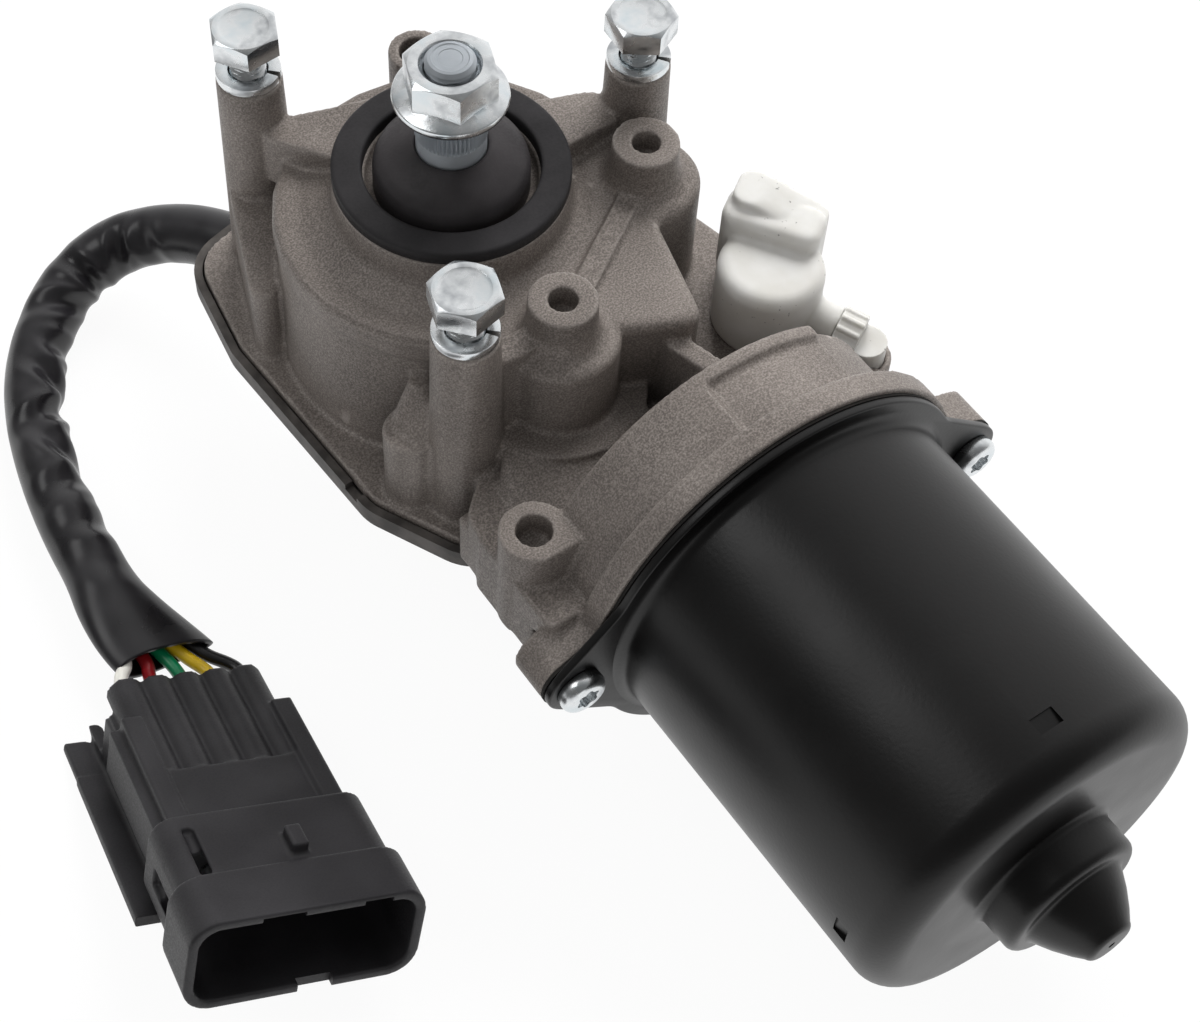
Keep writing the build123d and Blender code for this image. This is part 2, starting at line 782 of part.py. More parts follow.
def shaft_seal():
    """Domed rubber boot that lies in the ring and grips the output shaft."""
    outline = [
        (boot_radius, up(-seal_groove_depth)),
        (boot_radius, up(0.2)),
        (boot_shoulder_radius, up(boot_shoulder_height)),
        (7.4, up(boot_top_height - 0.3)),
        (shaft_radius + rubber_gap, up(boot_top_height)),
    ]
    back = [
        (shaft_radius + rubber_gap, up(boot_top_height - boot_wall)),
        (boot_radius - boot_wall - 2.0, up(boot_shoulder_height - boot_wall - 0.6)),
        (boot_radius - boot_wall, up(-seal_groove_depth)),
    ]
    return spun(outline, [1.2, 2.2, 1.0], back)


def hexagon_head(across_flats, foot, top, slope=1.73):
    """A hexagon prism whose upper corners are turned off."""
    face_radius = across_flats / 2 - 0.1
    crown = Pos(0, 0, up(foot)) * Cone(
        face_radius + slope * (top - foot), face_radius, top - foot, align=standing
    )
    return slab(RegularPolygon(across_flats / 2, 6, major_radius=False), foot, top) & crown


def flange_nut():
    top = nut_seat + nut_height
    nut = disc(nut_flange_radius, nut_seat, nut_seat + nut_flange_thickness)
    nut += Pos(0, 0, up(nut_seat + nut_flange_thickness)) * Cone(
        nut_flange_radius, nut_across_flats / 2, 1.6, align=standing
    )
    nut += hexagon_head(nut_across_flats, nut_seat, top)
    nut -= disc(thread_radius + nut_thread_clearance, nut_seat, top)
    nut -= Pos(0, 0, up(top)) * Cone(
        thread_radius, thread_radius + 0.7, 0.7, align=(Align.CENTER, Align.CENTER, Align.MAX)
    )
    return Rot(0, 0, nut_turn) * nut


def hex_bolt(turn):
    head = hexagon_head(bolt_across_flats, bolt_head_foot, bolt_head_foot + bolt_head_height)
    shank = disc(bolt_radius, bolt_head_foot - bolt_shank_length, bolt_head_foot)
    return Rot(0, 0, turn) * (head + shank)


def mounting_bolts():
    group = []
    for angle, turn in zip(post_angles, bolt_turns):
        x, y = post_spot(angle)
        group.append(Pos(x, y, 0) * hex_bolt(turn))
    return Compound(children=group)


def spring_washers():
    group = []
    for angle in post_angles:
        x, y = post_spot(angle)
        top = post_top + washer_thickness
        ring = disc(washer_outer_radius, post_top, top) - disc(washer_inner_radius, post_top, top)
        split = Rot(0, 0, -55) * Pos(0, 0, up(post_top)) * Box(
            washer_outer_radius + 1,
            washer_split,
            washer_thickness,
            align=(Align.MIN, Align.CENTER, Align.MIN),
        )
        group.append(Pos(x, y, 0) * (ring - split))
    return Compound(children=group)


def motor_can():
    """Deep-drawn steel can: eared flange, round wall, flat end and a stepped nose."""
    front = gasket_thickness - collar_face
    outer = [
        (can_radius, front),
        (can_radius, -can_end),
        (nose_boss_radius, -can_end),
        (nose_boss_radius, -can_end + nose_boss_length),
        (nose_cone_radius, -can_end + nose_boss_length),
        (nose_tip_radius, -nose_tip),
        (0, -nose_tip),
    ]
    inner = [
        (0, 2 * thrust_ball_radius - shaft_tail),
        (tail_pocket_radius, 2 * thrust_ball_radius - shaft_tail),
        (tail_pocket_radius, -nose_bush_end),
        (nose_bush_radius, -nose_bush_end),
        (nose_bush_radius, -can_end - can_wall),
        (can_inner_radius, -can_end - can_wall),
        (can_inner_radius, front),
    ]
    line = FilletPolyline(*outer, radius=[can_fillet, 1.0, 1.6, 1.6, 1.2])
    shell = make_face(line + Polyline(line @ 1, *inner, line @ 0))
    can = along_motor(revolve(Plane.XZ * shell, Axis.Z))
    plate = Rot(90, 0, 0) * Pos(0, 0, front) * ear_plate(can_flange_radius, can_flange_thickness)
    plate -= barrel(can_radius - 0.5, -front, -front - can_flange_thickness)
    can += plate
    for x in ear_spots:
        can -= barrel(can_screw_radius + screw_gap, -front, -front - can_flange_thickness, x=x)
    for turn in (0, 90, 180, 270):
        can -= punched_pocket(turn)
    return can


def punched_pocket(turn):
    """Shallow rectangular punch mark that locks the magnets inside the can."""
    mark = Pos(can_radius - 0.6, 0, -punch_station) * Box(
        2.0, 4.2, 2.6, align=(Align.MIN, Align.CENTER, Align.CENTER)
    )
    return along_motor(Rot(0, 0, turn) * mark)


def can_gasket():
    front = -collar_face
    plate = Rot(90, 0, 0) * Pos(0, 0, front) * ear_plate(can_flange_radius, gasket_thickness)
    plate -= barrel(can_inner_radius, -front, -front - gasket_thickness)
    for x in ear_spots:
        plate -= barrel(can_screw_radius + screw_gap, -front, -front - gasket_thickness, x=x)
    return plate


def can_screws():
    seat = collar_face - gasket_thickness - can_flange_thickness
    group = []
    for x in ear_spots:
        head = barrel(can_screw_head_radius, seat, seat - can_screw_head_height, x=x)
        head = fillet(head.edges().sort_by(Axis.Y)[0], 1.2)
        recess = barrel(1.7, seat - can_screw_head_height + 1.4, seat - can_screw_head_height, x=x)
        shank = barrel(can_screw_radius - 0.05, collar_face + can_screw_reach, seat, x=x)
        group.append(head - recess + shank)
    return Compound(children=group)


def armature_core():
    """Slotted lamination stack on the armature shaft."""
    outline = Circle(core_radius) - Circle(armature_shaft_radius)
    for slot in range(armature_slots):
        turn = 360 * slot / armature_slots
        outline -= Rot(0, 0, turn) * Pos(core_radius - 6.5, 0) * Circle(3.2)
        outline -= Rot(0, 0, turn) * Pos(core_radius - 2.0, 0) * Rectangle(6.0, 1.6)
    return along_motor(Pos(0, 0, -core_front) * extrude(outline, core_front - core_back))


def armature_windings():
    """Copper coils: a bar in each slot and an end turn ring at both ends of the stack."""
    bars = []
    for slot in range(armature_slots):
        turn = 360 * slot / armature_slots
        bar = Rot(0, 0, turn) * Pos(core_radius - 6.5, 0) * Circle(3.0)
        bars.append(Pos(0, 0, -core_front) * extrude(bar, core_front - core_back))
    coil = Pos(0, 0, -core_front - 6.0) * Cylinder(
        core_radius - 3.4, 6.0, align=standing
    )
    coil += Pos(0, 0, -core_back) * Cylinder(
        core_radius - 3.4, 6.0, align=standing
    )
    coil = fillet(coil.edges().filter_by(GeomType.CIRCLE).group_by(Axis.Z)[0], 2.4)
    coil = fillet(coil.edges().filter_by(GeomType.CIRCLE).group_by(Axis.Z)[-1], 2.4)
    for bar in bars:
        coil += bar
    bore = Pos(0, 0, -core_front - 7.0) * Cylinder(
        armature_shaft_radius + 2.2, core_front - core_back + 14.0, align=standing
    )
    return along_motor(coil - bore)


def commutator():
    outline = Circle(commutator_radius) - Circle(armature_shaft_radius)
    for slot in range(armature_slots):
        turn = Rot(0, 0, 360 * (slot + 0.5) / armature_slots)
        outline -= turn * Pos(commutator_radius, 0) * Rectangle(1.4, 0.5)
    return along_motor(Pos(0, 0, -commutator_front) * extrude(outline, commutator_length))


def brush_plate():
    """Moulded plate that carries three brush boxes round the commutator."""
    face = -brush_plate_face
    plate = Pos(0, 0, face) * extrude(Circle(can_inner_radius - 0.3) - Circle(commutator_radius + 1.0), 1.8)
    for turn in brush_turns:
        box = Pos(commutator_radius + 1.0, 0, face + 1.8) * Box(
            15.0, 7.6, 5.4, align=(Align.MIN, Align.CENTER, Align.MIN)
        )
        room = Pos(commutator_radius + 0.5, 0, face + 2.4) * Box(
            14.2, brush_width + 0.4, brush_depth + 0.4, align=(Align.MIN, Align.CENTER, Align.MIN)
        )
        plate += Rot(0, 0, turn) * (box - room)
    return along_motor(plate)


def brushes():
    group = []
    for turn in brush_turns:
        block = Pos(commutator_radius + 0.05, 0, 2.6 - brush_plate_face) * Box(
            brush_length, brush_width, brush_depth, align=(Align.MIN, Align.CENTER, Align.MIN)
        )
        group.append(along_motor(Rot(0, 0, turn) * block))
    return Compound(children=group)


def brush_springs():
    """Spring behind each brush, kept as its outer sleeve."""
    group = []
    middle = 2.6 + brush_depth / 2 - brush_plate_face
    for turn in brush_turns:
        coil = Pos(commutator_radius + 0.05 + brush_length, 0, middle) * Rot(0, 90, 0) * Cylinder(
            spring_radius, spring_length, align=standing
        )
        bore = Pos(commutator_radius + brush_length, 0, middle) * Rot(0, 90, 0) * Cylinder(
            spring_radius - 0.5, spring_length + 0.6, align=standing
        )
        group.append(along_motor(Rot(0, 0, turn) * (coil - bore)))
    return Compound(children=group)


def wedge(half_angle):
    """A triangle that opens from the middle to beyond the can, to cut an arc from a ring."""
    reach = 2 * can_radius
    spread = reach * tan(radians(half_angle))
    return make_face(Polyline((0, 0), (reach, -spread), (reach, spread), (0, 0)))


def field_magnets():
    """Two ferrite arcs held against the can's wall."""
    group = []
    for turn in (0, 180):
        ring = Circle(can_inner_radius) - Circle(magnet_inner_radius)
        arc = extrude(ring & wedge(magnet_half_angle), magnet_length)
        group.append(along_motor(Rot(0, 0, turn) * Pos(0, 0, -core_front - 3.0) * arc))
    return Compound(children=group)


def magnet_clips():
    """Bent spring strips that press the magnets apart along the can's wall."""
    group = []
    for turn in (90, 270):
        ring = Circle(can_inner_radius) - Circle(can_inner_radius - clip_thickness)
        strip = extrude(ring & wedge(clip_half_angle), clip_length)
        group.append(along_motor(Rot(0, 0, turn) * Pos(0, 0, -core_front) * strip))
    return Compound(children=group)


def motor_bushes():
    """Sintered bushes at the worm end, behind the collar and in the nose."""
    bore = armature_shaft_radius + running_clearance
    worm_end = barrel(end_bush_outer, 0.5, armature_end - 1.0) - barrel(bore, 0.5, armature_end - 1.0)
    drive = barrel(drive_bush_outer, brush_room_back, throat_start)
    drive -= barrel(bore, brush_room_back, throat_start)
    start = can_end + can_wall
    nose = barrel(nose_bush_radius, nose_bush_end, start) - barrel(bore, nose_bush_end, start)
    return worm_end, drive, nose


def thrust_ball():
    """Steel ball between the shaft's tail and the bottom of the nose."""
    return Pos(motor_x, shaft_tail - thrust_ball_radius, up(motor_height)) * Sphere(thrust_ball_radius)


def vent_outlet(radius, start, end):
    """A round outlet from the cap towards its plug, between two distances from the cap's middle."""
    run = Vector(plug_ring_x - cap_x, plug_ring_y - cap_y, knob_height - outlet_height)
    plane = Plane(origin=Vector(cap_x, cap_y, up(outlet_height)) + run.normalized() * start, z_dir=run)
    return extrude(plane * Circle(radius), end - start)


def vent_cap():
    """White moulded breather: a round cup with a raised block and an outlet towards its plug."""
    body = disc(cap_radius, deck_top, cap_top, cap_x, cap_y)
    body = fillet(body.edges().sort_by(Axis.Z)[-1], cap_dome)
    block = Pos(cap_x + 4.6, cap_y + 5.8, up(deck_top + 4)) * Rot(0, 0, -56) * Box(
        16.6, 8.0, cap_top - deck_top - 0.5, align=standing
    )
    block = fillet(block.edges().filter_by(Axis.Z), 2.6)
    block = fillet(block.faces().sort_by(Axis.Z)[-1].edges(), 1.6)
    cup = body + block + vent_outlet(outlet_radius, 4.0, outlet_end)
    return cup - disc(cap_radius - cap_wall, deck_top, cap_top - 3.0, cap_x, cap_y + 1)


def vent_plug():
    """Ribbed knob at the outlet's end, whose stem sits in the ring cast on the neck."""
    stem_foot = plug_ring_top - plug_hole_depth + 1.0
    plug = disc(plug_hole_radius - 0.1, stem_foot, knob_height, plug_ring_x, plug_ring_y)
    plug -= vent_outlet(knob_radius + 2.0, 4.0, outlet_end)
    plug += vent_outlet(knob_radius, outlet_end, outlet_end + knob_length)
    return plug


def bend_radii(points):
    """The arc at each corner: 0.45 of the shorter run over the tangent of half the turn."""
    radii = []
    for before, corner, after in zip(points, points[1:], points[2:]):
        arriving = Vector(*corner) - Vector(*before)
        leaving = Vector(*after) - Vector(*corner)
        half_turn = radians(arriving.get_angle(leaving)) / 2
        radii.append(0.45 * min(arriving.length, leaving.length) / tan(half_turn))
    return radii


def tube_along(points, radius):
    placed = [(x, y, up(height)) for x, y, height in points]
    radii = bend_radii(placed)
    path = FilletPolyline(*placed, radius=radii)
    heading = path % 0
    section = Plane(origin=path @ 0, z_dir=heading) * Circle(radius)
    tube = sweep(section, path=path)
    print("radii", [round(value, 1) for value in radii], "length", round(path.length, 1))
    print("tube volume over section times length", round(tube.volume / (pi * radius**2 * path.length), 5))
    return tube


def harness_sleeve():
    return tube_along(sleeve_route, sleeve_radius)


def harness_grommet():
    """Rubber grommet through the cover's wall at the sleeve's exit."""
    neck = extrude(exit_plane(-3.0) * Circle(grommet_neck_radius), 3.0 + grommet_reach)
    return neck + extrude(
        exit_plane(grommet_ring_start) * Circle(grommet_ring_radius), grommet_reach - grommet_ring_start
    )


def sleeve_end():
    """The flattened, cut-off end of the sleeve that the five wires come out of."""
    tail = Vector(*sleeve_route[-1][:2], up(sleeve_route[-1][2]))
    before = Vector(*sleeve_route[-2][:2], up(sleeve_route[-2][2]))
    mouth = Vector(*sleeve_mouth[:2], up(sleeve_mouth[2]))
    sideways = plug_axis(1, 0, 0)
    start = Plane(origin=tail, x_dir=sideways, z_dir=tail - before)
    end = Plane(origin=mouth, x_dir=sideways, z_dir=plug_axis(0, 1, 0))
    outer_sections = [
        start * Ellipse(sleeve_radius, sleeve_radius - 0.01),
        end * Ellipse(mouth_half_width, mouth_half_height),
    ]
    inner_start = start.offset(sleeve_wall)
    room = loft(
        [
            inner_start * Ellipse(sleeve_radius - sleeve_wall, sleeve_radius - sleeve_wall - 0.01),
            end * Ellipse(mouth_half_width - sleeve_wall, mouth_half_height - sleeve_wall),
        ]
    )
    return loft(outer_sections) - room


def pose_plug(solid):
    """Moves the plug from its own axes to where it lies beside the motor."""
    x, y, height = plug_spot
    return Pos(x, y, up(height)) * plug_turn() * solid


def plug_turn():
    return Rot(0, 0, 180 + plug_yaw) * Rot(plug_pitch, 0, 0) * Rot(0, -plug_roll, 0)


def plug_axis(x, y, z):
    """One of the plug's own directions, in the motor's axes."""
    return Vector(*(plug_turn() * Pos(x, y, z)).position)


def plug_point(x, y, z):
    place = pose_plug(Pos(x, y, z))
    return Vector(*place.position)


def plug_way_x(way):
    return ((ways - 1) / 2 - way) * way_pitch


def plug_block(left, right, start, end, foot, top):
    """A block of the plug between limits in its own axes."""
    size = (right - left, end - start, top - foot)
    return Pos(left, start, foot) * Box(*size, align=(Align.MIN, Align.MIN, Align.MIN))


def shroud_block(half, foot, top, corner, start, end):
    """A rounded-rectangle length of the plug."""
    outline = Pos(0, (top + foot) / 2) * RectangleRounded(2 * half, top - foot, corner)
    return Pos(0, end, 0) * Rot(90, 0, 0) * extrude(outline, end - start)


def connector_housing():
    """Black five-way housing: round wire entries, flat body, open shroud and a mounting rail."""
    half = plug_body_half
    body = plug_block(1.0 - half, half - 1.0, 4.0, step_start, -7.4, -1.0)
    for way in range(ways):
        body += Pos(plug_way_x(way), 0, 0) * Rot(-90, 0, 0) * Cylinder(
            way_radius, step_start, align=standing
        )
    body += plug_block(-half + 4.2, half - 4.2, way_length, step_start, 0.0, way_radius + 0.2)
    for side in (-1, 1):
        middle = side * (half - 2.2)
        body += plug_block(middle - 1.7, middle + 1.7, 11.0, step_start, -5.0, way_radius + 1.0)
    body += plug_block(half - 1.0, half + 1.0, 11.0, step_start, -6.4, 1.4)
    inset = 0.9
    low, high = shroud_foot + inset, shroud_top - inset
    body += shroud_block(shroud_half - 1.3, low, high, shroud_corner - inset, step_start, shroud_start)
    body += shroud_block(shroud_half, shroud_foot, shroud_top, shroud_corner, shroud_start, plug_length)
    body += plug_block(-3.6, -1.0, shroud_start - 6.5, shroud_start - 1.8, shroud_top - 2.0, shroud_top + 1.1)
    body -= plug_block(11.4, 13.2, step_start + 3.0, shroud_start - 0.8, shroud_top - 1.9, shroud_top)
    body -= plug_block(shroud_half - 2.4, shroud_half, step_start + 4.0, shroud_start, -4.4, -1.2)
    body += plug_block(half - 2.6, half + 4.4, 7.5, shroud_start - 1.0, -rail_drop, 1.8 - rail_drop)
    body += plug_block(half - 2.6, half - 0.6, 3.5, shroud_start - 1.0, 1.0 - rail_drop, -2.0)
    room = shroud_half - shroud_wall
    body -= shroud_block(
        room, shroud_foot + shroud_wall, shroud_top - shroud_wall, 3.2, plug_length - mouth_depth, plug_length
    )
    for way in range(ways):
        body -= Pos(plug_way_x(way), 0, 0) * Rot(-90, 0, 0) * Cylinder(
            wire_radius + 0.1, way_length, align=standing
        )
        body -= Pos(plug_way_x(way), way_length, 0) * Rot(-90, 0, 0) * Cylinder(
            1.0, plug_length - way_length, align=standing
        )
    return pose_plug(body)


def connector_terminals():
    """Five pins that stand in the shroud."""
    group = []
    for way in range(ways):
        start = plug_length - mouth_depth - 8.0
        pin = Pos(plug_way_x(way), start, 0) * Rot(-90, 0, 0) * Cylinder(
            1.0, 17.0, align=standing
        )
        group.append(pose_plug(chamfer(pin.edges().sort_by(Axis.Y)[-1], 0.5)))
    return Compound(children=group)


def harness_wire(way):
    """One insulated wire from the sleeve's mouth into its way in the plug."""
    mouth = Vector(*sleeve_mouth[:2], up(sleeve_mouth[2]))
    tail = Vector(*sleeve_route[-1][:2], up(sleeve_route[-1][2]))
    spread = ((ways - 1) / 2 - way) * (2 * wire_radius + 0.6)
    start = mouth + (tail - mouth).normalized() + plug_axis(1, 0, 0) * spread
    entry = plug_way_x(way)
    path = FilletPolyline(start, plug_point(entry, -1.2, 0), plug_point(entry, 5.0, 0), radius=3.0)
    section = Plane(origin=path @ 0, z_dir=path % 0) * Circle(wire_radius)
    return sweep(section, path=path)


def main():
    os.makedirs("parts", exist_ok=True)
    worm_end_bush, drive_end_bush, nose_bush = motor_bushes()
    nodes = {
        "gear_housing": gear_housing(),
        "gear_cover": gear_cover(),
        "cover_gasket": cover_gasket(),
        "cover_screws": cover_screws(),
        "output_shaft": output_shaft(),
        "output_gear": output_gear(),
        "park_disc": park_disc(),
        "park_contacts": park_contacts(),
        "output_bushes": output_bushes(),
        "thrust_washer": thrust_washer(),
        "gear_retainer": gear_retainer(),
        "hub_ring_seal": hub_ring_seal(),
        "shaft_seal": shaft_seal(),
        "flange_nut": flange_nut(),
        "front_intermediate_gear": intermediate_gear(front_gear_x, front_gear_y, 1),
        "rear_intermediate_gear": intermediate_gear(rear_gear_x, rear_gear_y, -1),
        "gear_pins": gear_pins(),
        "pin_circlips": pin_circlips(),
        "armature_shaft": armature_shaft(),
        "armature_core": armature_core(),
        "armature_windings": armature_windings(),
        "commutator": commutator(),
        "worm_end_bush": worm_end_bush,
        "drive_end_bush": drive_end_bush,
        "nose_bush": nose_bush,
        "thrust_ball": thrust_ball(),
        "motor_can": motor_can(),
        "can_gasket": can_gasket(),
        "can_screws": can_screws(),
        "field_magnets": field_magnets(),
        "magnet_clips": magnet_clips(),
        "brush_plate": brush_plate(),
        "brushes": brushes(),
        "brush_springs": brush_springs(),
        "mounting_bolts": mounting_bolts(),
        "spring_washers": spring_washers(),
        "vent_cap": vent_cap(),
        "vent_plug": vent_plug(),
        "harness_grommet": harness_grommet(),
        "harness_sleeve": harness_sleeve(),
        "sleeve_end": sleeve_end(),
        "connector_housing": connector_housing(),
        "connector_terminals": connector_terminals(),
    }
    for way, colour in enumerate(wire_names):
        nodes[f"wire_{colour}"] = harness_wire(way)
    for name, solid in nodes.items():
        export_step(solid, f"parts/{name}.step")


main()
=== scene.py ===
import math

import bmesh
import bpy
from mathutils import Matrix, Vector


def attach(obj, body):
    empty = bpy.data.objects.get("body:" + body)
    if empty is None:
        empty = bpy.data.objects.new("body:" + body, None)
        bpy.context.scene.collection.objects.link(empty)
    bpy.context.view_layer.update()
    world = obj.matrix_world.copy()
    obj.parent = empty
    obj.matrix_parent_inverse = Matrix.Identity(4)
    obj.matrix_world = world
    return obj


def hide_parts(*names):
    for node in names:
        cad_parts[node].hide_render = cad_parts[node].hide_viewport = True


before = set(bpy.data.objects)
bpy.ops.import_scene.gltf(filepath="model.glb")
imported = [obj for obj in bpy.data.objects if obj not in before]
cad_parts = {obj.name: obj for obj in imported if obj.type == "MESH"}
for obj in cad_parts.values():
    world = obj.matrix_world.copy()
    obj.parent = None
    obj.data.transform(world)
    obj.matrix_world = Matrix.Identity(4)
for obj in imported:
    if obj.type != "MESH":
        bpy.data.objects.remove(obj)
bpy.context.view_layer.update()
MM = 0.001


# The camera stands above the motor's near side and looks down along the harness, a short
# telephoto at about 0.36 m, rolled a few degrees as the motor lay under it.
CAMERA_PLACE = (-0.1300, -0.2021, 0.2538)
LENS, FILM_WIDTH, NEAREST = 68.4, 36, 0.01
camera_turn, camera_rise, camera_roll = (math.radians(angle) for angle in (-39.269, 56.31, 4.689))
level = math.cos(camera_rise)
to_camera = Vector((math.sin(camera_turn) * level, -math.cos(camera_turn) * level, math.sin(camera_rise)))
level_right = Vector((math.cos(camera_turn), math.sin(camera_turn), 0))
level_up = to_camera.cross(level_right)
camera_right = math.cos(camera_roll) * level_right + math.sin(camera_roll) * level_up
camera_up = math.cos(camera_roll) * level_up - math.sin(camera_roll) * level_right
bpy.ops.object.camera_add()
camera = bpy.context.object
camera.name = "photo_camera"
camera_axes = Matrix((camera_right, camera_up, to_camera)).transposed()
camera.matrix_world = Matrix.Translation(CAMERA_PLACE) @ camera_axes.to_4x4()
camera.data.lens = LENS
camera.data.sensor_width = FILM_WIDTH
camera.data.clip_start = NEAREST
bpy.context.scene.camera = camera
bpy.context.scene.view_settings.view_transform = "Standard"


# The harness sleeve: a soft, glossy PVC tube pushed over five wires. It leaves the grommet in
# the cover's back wall, sags to the floor, swings round the housing and is squashed flat where
# it is cut off in front of the plug. Bending has creased it into long dents.
SLEEVE_RADIUS = 5.4 * MM
SLEEVE_WALL = 0.7 * MM
CRANK_SEAT = 10.8
sleeve_stations = [
    (-15.5, 36.9, -49.2),
    (-19.8, 46.7, -51.0),
    (-25.2, 55.5, -54.6),
    (-32.9, 61.7, -58.9),
    (-43.0, 61.3, -62.4),
    (-51.9, 55.5, -64.2),
    (-58.7, 47.0, -64.5),
    (-63.3, 37.2, -64.5),
    (-66.3, 26.7, -64.5),
    (-68.1, 15.9, -64.4),
    (-69.2, 5.1, -64.4),
    (-69.7, -5.8, -64.5),
    (-67.4, -15.8, -65.5),
]
MOUTH_HALF_WIDTH = 8.4 * MM
MOUTH_HALF_HEIGHT = 3.4 * MM
MOUTH_SLANT, MOUTH_WAVE = 2.4 * MM, 0.4 * MM
PLUG_YAW, PLUG_PITCH, PLUG_ROLL = (math.radians(angle) for angle in (180 - 9.4, 18.7, -18.5))


def at(x, y, height):
    """A point given in millimetres, with its height above the seal ring's top."""
    return Vector((x * MM, y * MM, (height - CRANK_SEAT) * MM))


plug_frame = (
    Matrix.Translation(at(-67.5, -22.1, -64.9))
    @ Matrix.Rotation(PLUG_YAW, 4, "Z")
    @ Matrix.Rotation(PLUG_PITCH, 4, "X")
    @ Matrix.Rotation(PLUG_ROLL, 4, "Y")
)


def spline_through(name, points):
    """A smooth open curve whose control points are the route's own."""
    curve = bpy.data.curves.new(name, "CURVE")
    curve.dimensions = "3D"
    curve.resolution_u = 16
    line = curve.splines.new("NURBS")
    line.points.add(len(points) - 1)
    for point, place in zip(line.points, points):
        point.co = (*place, 1)
    line.order_u = 3
    line.use_endpoint_u = True
    return curve


def line_of(curve):
    """The points along a curve that has no thickness yet, as Blender draws it."""
    holder = bpy.data.objects.new(curve.name, curve)
    bpy.context.collection.objects.link(holder)
    drawn = bpy.data.meshes.new_from_object(holder)
    points = [vertex.co.copy() for vertex in drawn.vertices]
    bpy.data.objects.remove(holder)
    bpy.data.meshes.remove(drawn)
    return points


def walked(points, step):
    """Points a step apart along a line of points."""
    places, left = [points[0]], step
    for start, end in zip(points, points[1:]):
        run = end - start
        gone = 0.0
        while run.length - gone >= left:
            gone += left
            places.append(start + run.normalized() * gone)
            left = step
        left -= run.length - gone
    return places


def object_from(name, verts, faces):
    mesh = bpy.data.meshes.new(name)
    mesh.from_pydata([tuple(v) for v in verts], [], faces)
    mesh.validate()
    piece = bpy.data.objects.new(name, mesh)
    bpy.context.collection.objects.link(piece)
    return piece


def chosen(piece):
    """Makes a piece the only selected one, and the active one."""
    bpy.ops.object.select_all(action="DESELECT")
    piece.select_set(True)
    bpy.context.view_layer.objects.active = piece


def open_mesh(piece):
    """Opens a piece's mesh for editing, with all of it selected."""
    chosen(piece)
    bpy.ops.object.mode_set(mode="EDIT")
    bpy.ops.mesh.select_all(action="SELECT")


def close_mesh():
    """Turns the open mesh's faces outwards and ends its editing."""
    bpy.ops.mesh.select_all(action="SELECT")
    bpy.ops.mesh.normals_make_consistent(inside=False)
    bpy.ops.object.mode_set(mode="OBJECT")


def applied(piece, kind, **settings):
    """Puts a modifier of this kind on a piece and applies it."""
    modifier = piece.modifiers.new(kind, kind)
    for name, value in settings.items():
        setattr(modifier, name, value)
    chosen(piece)
    bpy.ops.object.modifier_apply(modifier=modifier.name)


def smoothed(piece, angle=None):
    """Smooth shading all over, or up to an angle between faces."""
    chosen(piece)
    if angle is None:
        bpy.ops.object.shade_smooth()
    else:
        bpy.ops.object.shade_smooth_by_angle(angle=math.radians(angle))


SHADER = "Principled BSDF"


def new_finish(name, colour, roughness, metallic=0.0, specular=0.5):
    """A material whose shader has these plain values, and its node tree to add to."""
    material = bpy.data.materials.new(name)
    material.use_nodes = True
    sockets = material.node_tree.nodes[SHADER].inputs
    sockets["Base Color"].default_value = (*colour, 1)
    sockets["Roughness"].default_value = roughness
    sockets["Metallic"].default_value = metallic
    sockets["Specular IOR Level"].default_value = specular
    return material, material.node_tree


def noise_at(tree, scale, detail=3.0, stretch=(1, 1, 1)):
    """Noise in the object's own metres, stretched along its axes; its factor's socket."""
    place = tree.nodes.new("ShaderNodeTexCoord")
    mapping = tree.nodes.new("ShaderNodeMapping")
    mapping.inputs["Scale"].default_value = stretch
    grain = tree.nodes.new("ShaderNodeTexNoise")
    grain.inputs["Scale"].default_value = scale
    grain.inputs["Detail"].default_value = detail
    tree.links.new(place.outputs["Object"], mapping.inputs["Vector"])
    tree.links.new(mapping.outputs["Vector"], grain.inputs["Vector"])
    return grain.outputs["Fac"]


def between(tree, factor, stops):
    """A colour ramp over a factor, from (position, colour) stops."""
    ramp = tree.nodes.new("ShaderNodeValToRGB")
    tree.links.new(factor, ramp.inputs["Fac"])
    marks = ramp.color_ramp.elements
    while len(marks) < len(stops):
        marks.new(0.5)
    for mark, (position, colour) in zip(marks, stops):
        mark.position = position
        mark.color = (*colour, 1)
    return ramp.outputs["Color"]


def greys(*stops):
    """Colour ramp stops from (position, value) pairs."""
    return [(position, (value,) * 3) for position, value in stops]


def varied(tree, socket, factor, stops):
    """Lets a factor drive one of the shader's sockets through a colour ramp."""
    tree.links.new(between(tree, factor, stops), tree.nodes[SHADER].inputs[socket])


def bumped(tree, height, depth, strength=1.0):
    """Adds relief of this depth in metres to the shader, over any relief it has."""
    normal = tree.nodes[SHADER].inputs["Normal"]
    bump = tree.nodes.new("ShaderNodeBump")
    bump.inputs["Strength"].default_value = strength
    bump.inputs["Distance"].default_value = depth
    tree.links.new(height, bump.inputs["Height"])
    if normal.is_linked:
        tree.links.new(normal.links[0].from_socket, bump.inputs["Normal"])
    tree.links.new(bump.outputs["Normal"], normal)


def linear(red, green, blue):
    """Linear light of a colour read as 0 to 255."""
    return tuple((part / 255) ** 2.2 for part in (red, green, blue))


def finished(piece, material, body, slot, *nodes):
    """Gives a piece its material and its body, and hides the CAD nodes it stands for. The slot is not used.
    """
    piece.data.materials.clear()
    piece.data.materials.append(material)
    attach(piece, body)
    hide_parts(*nodes)


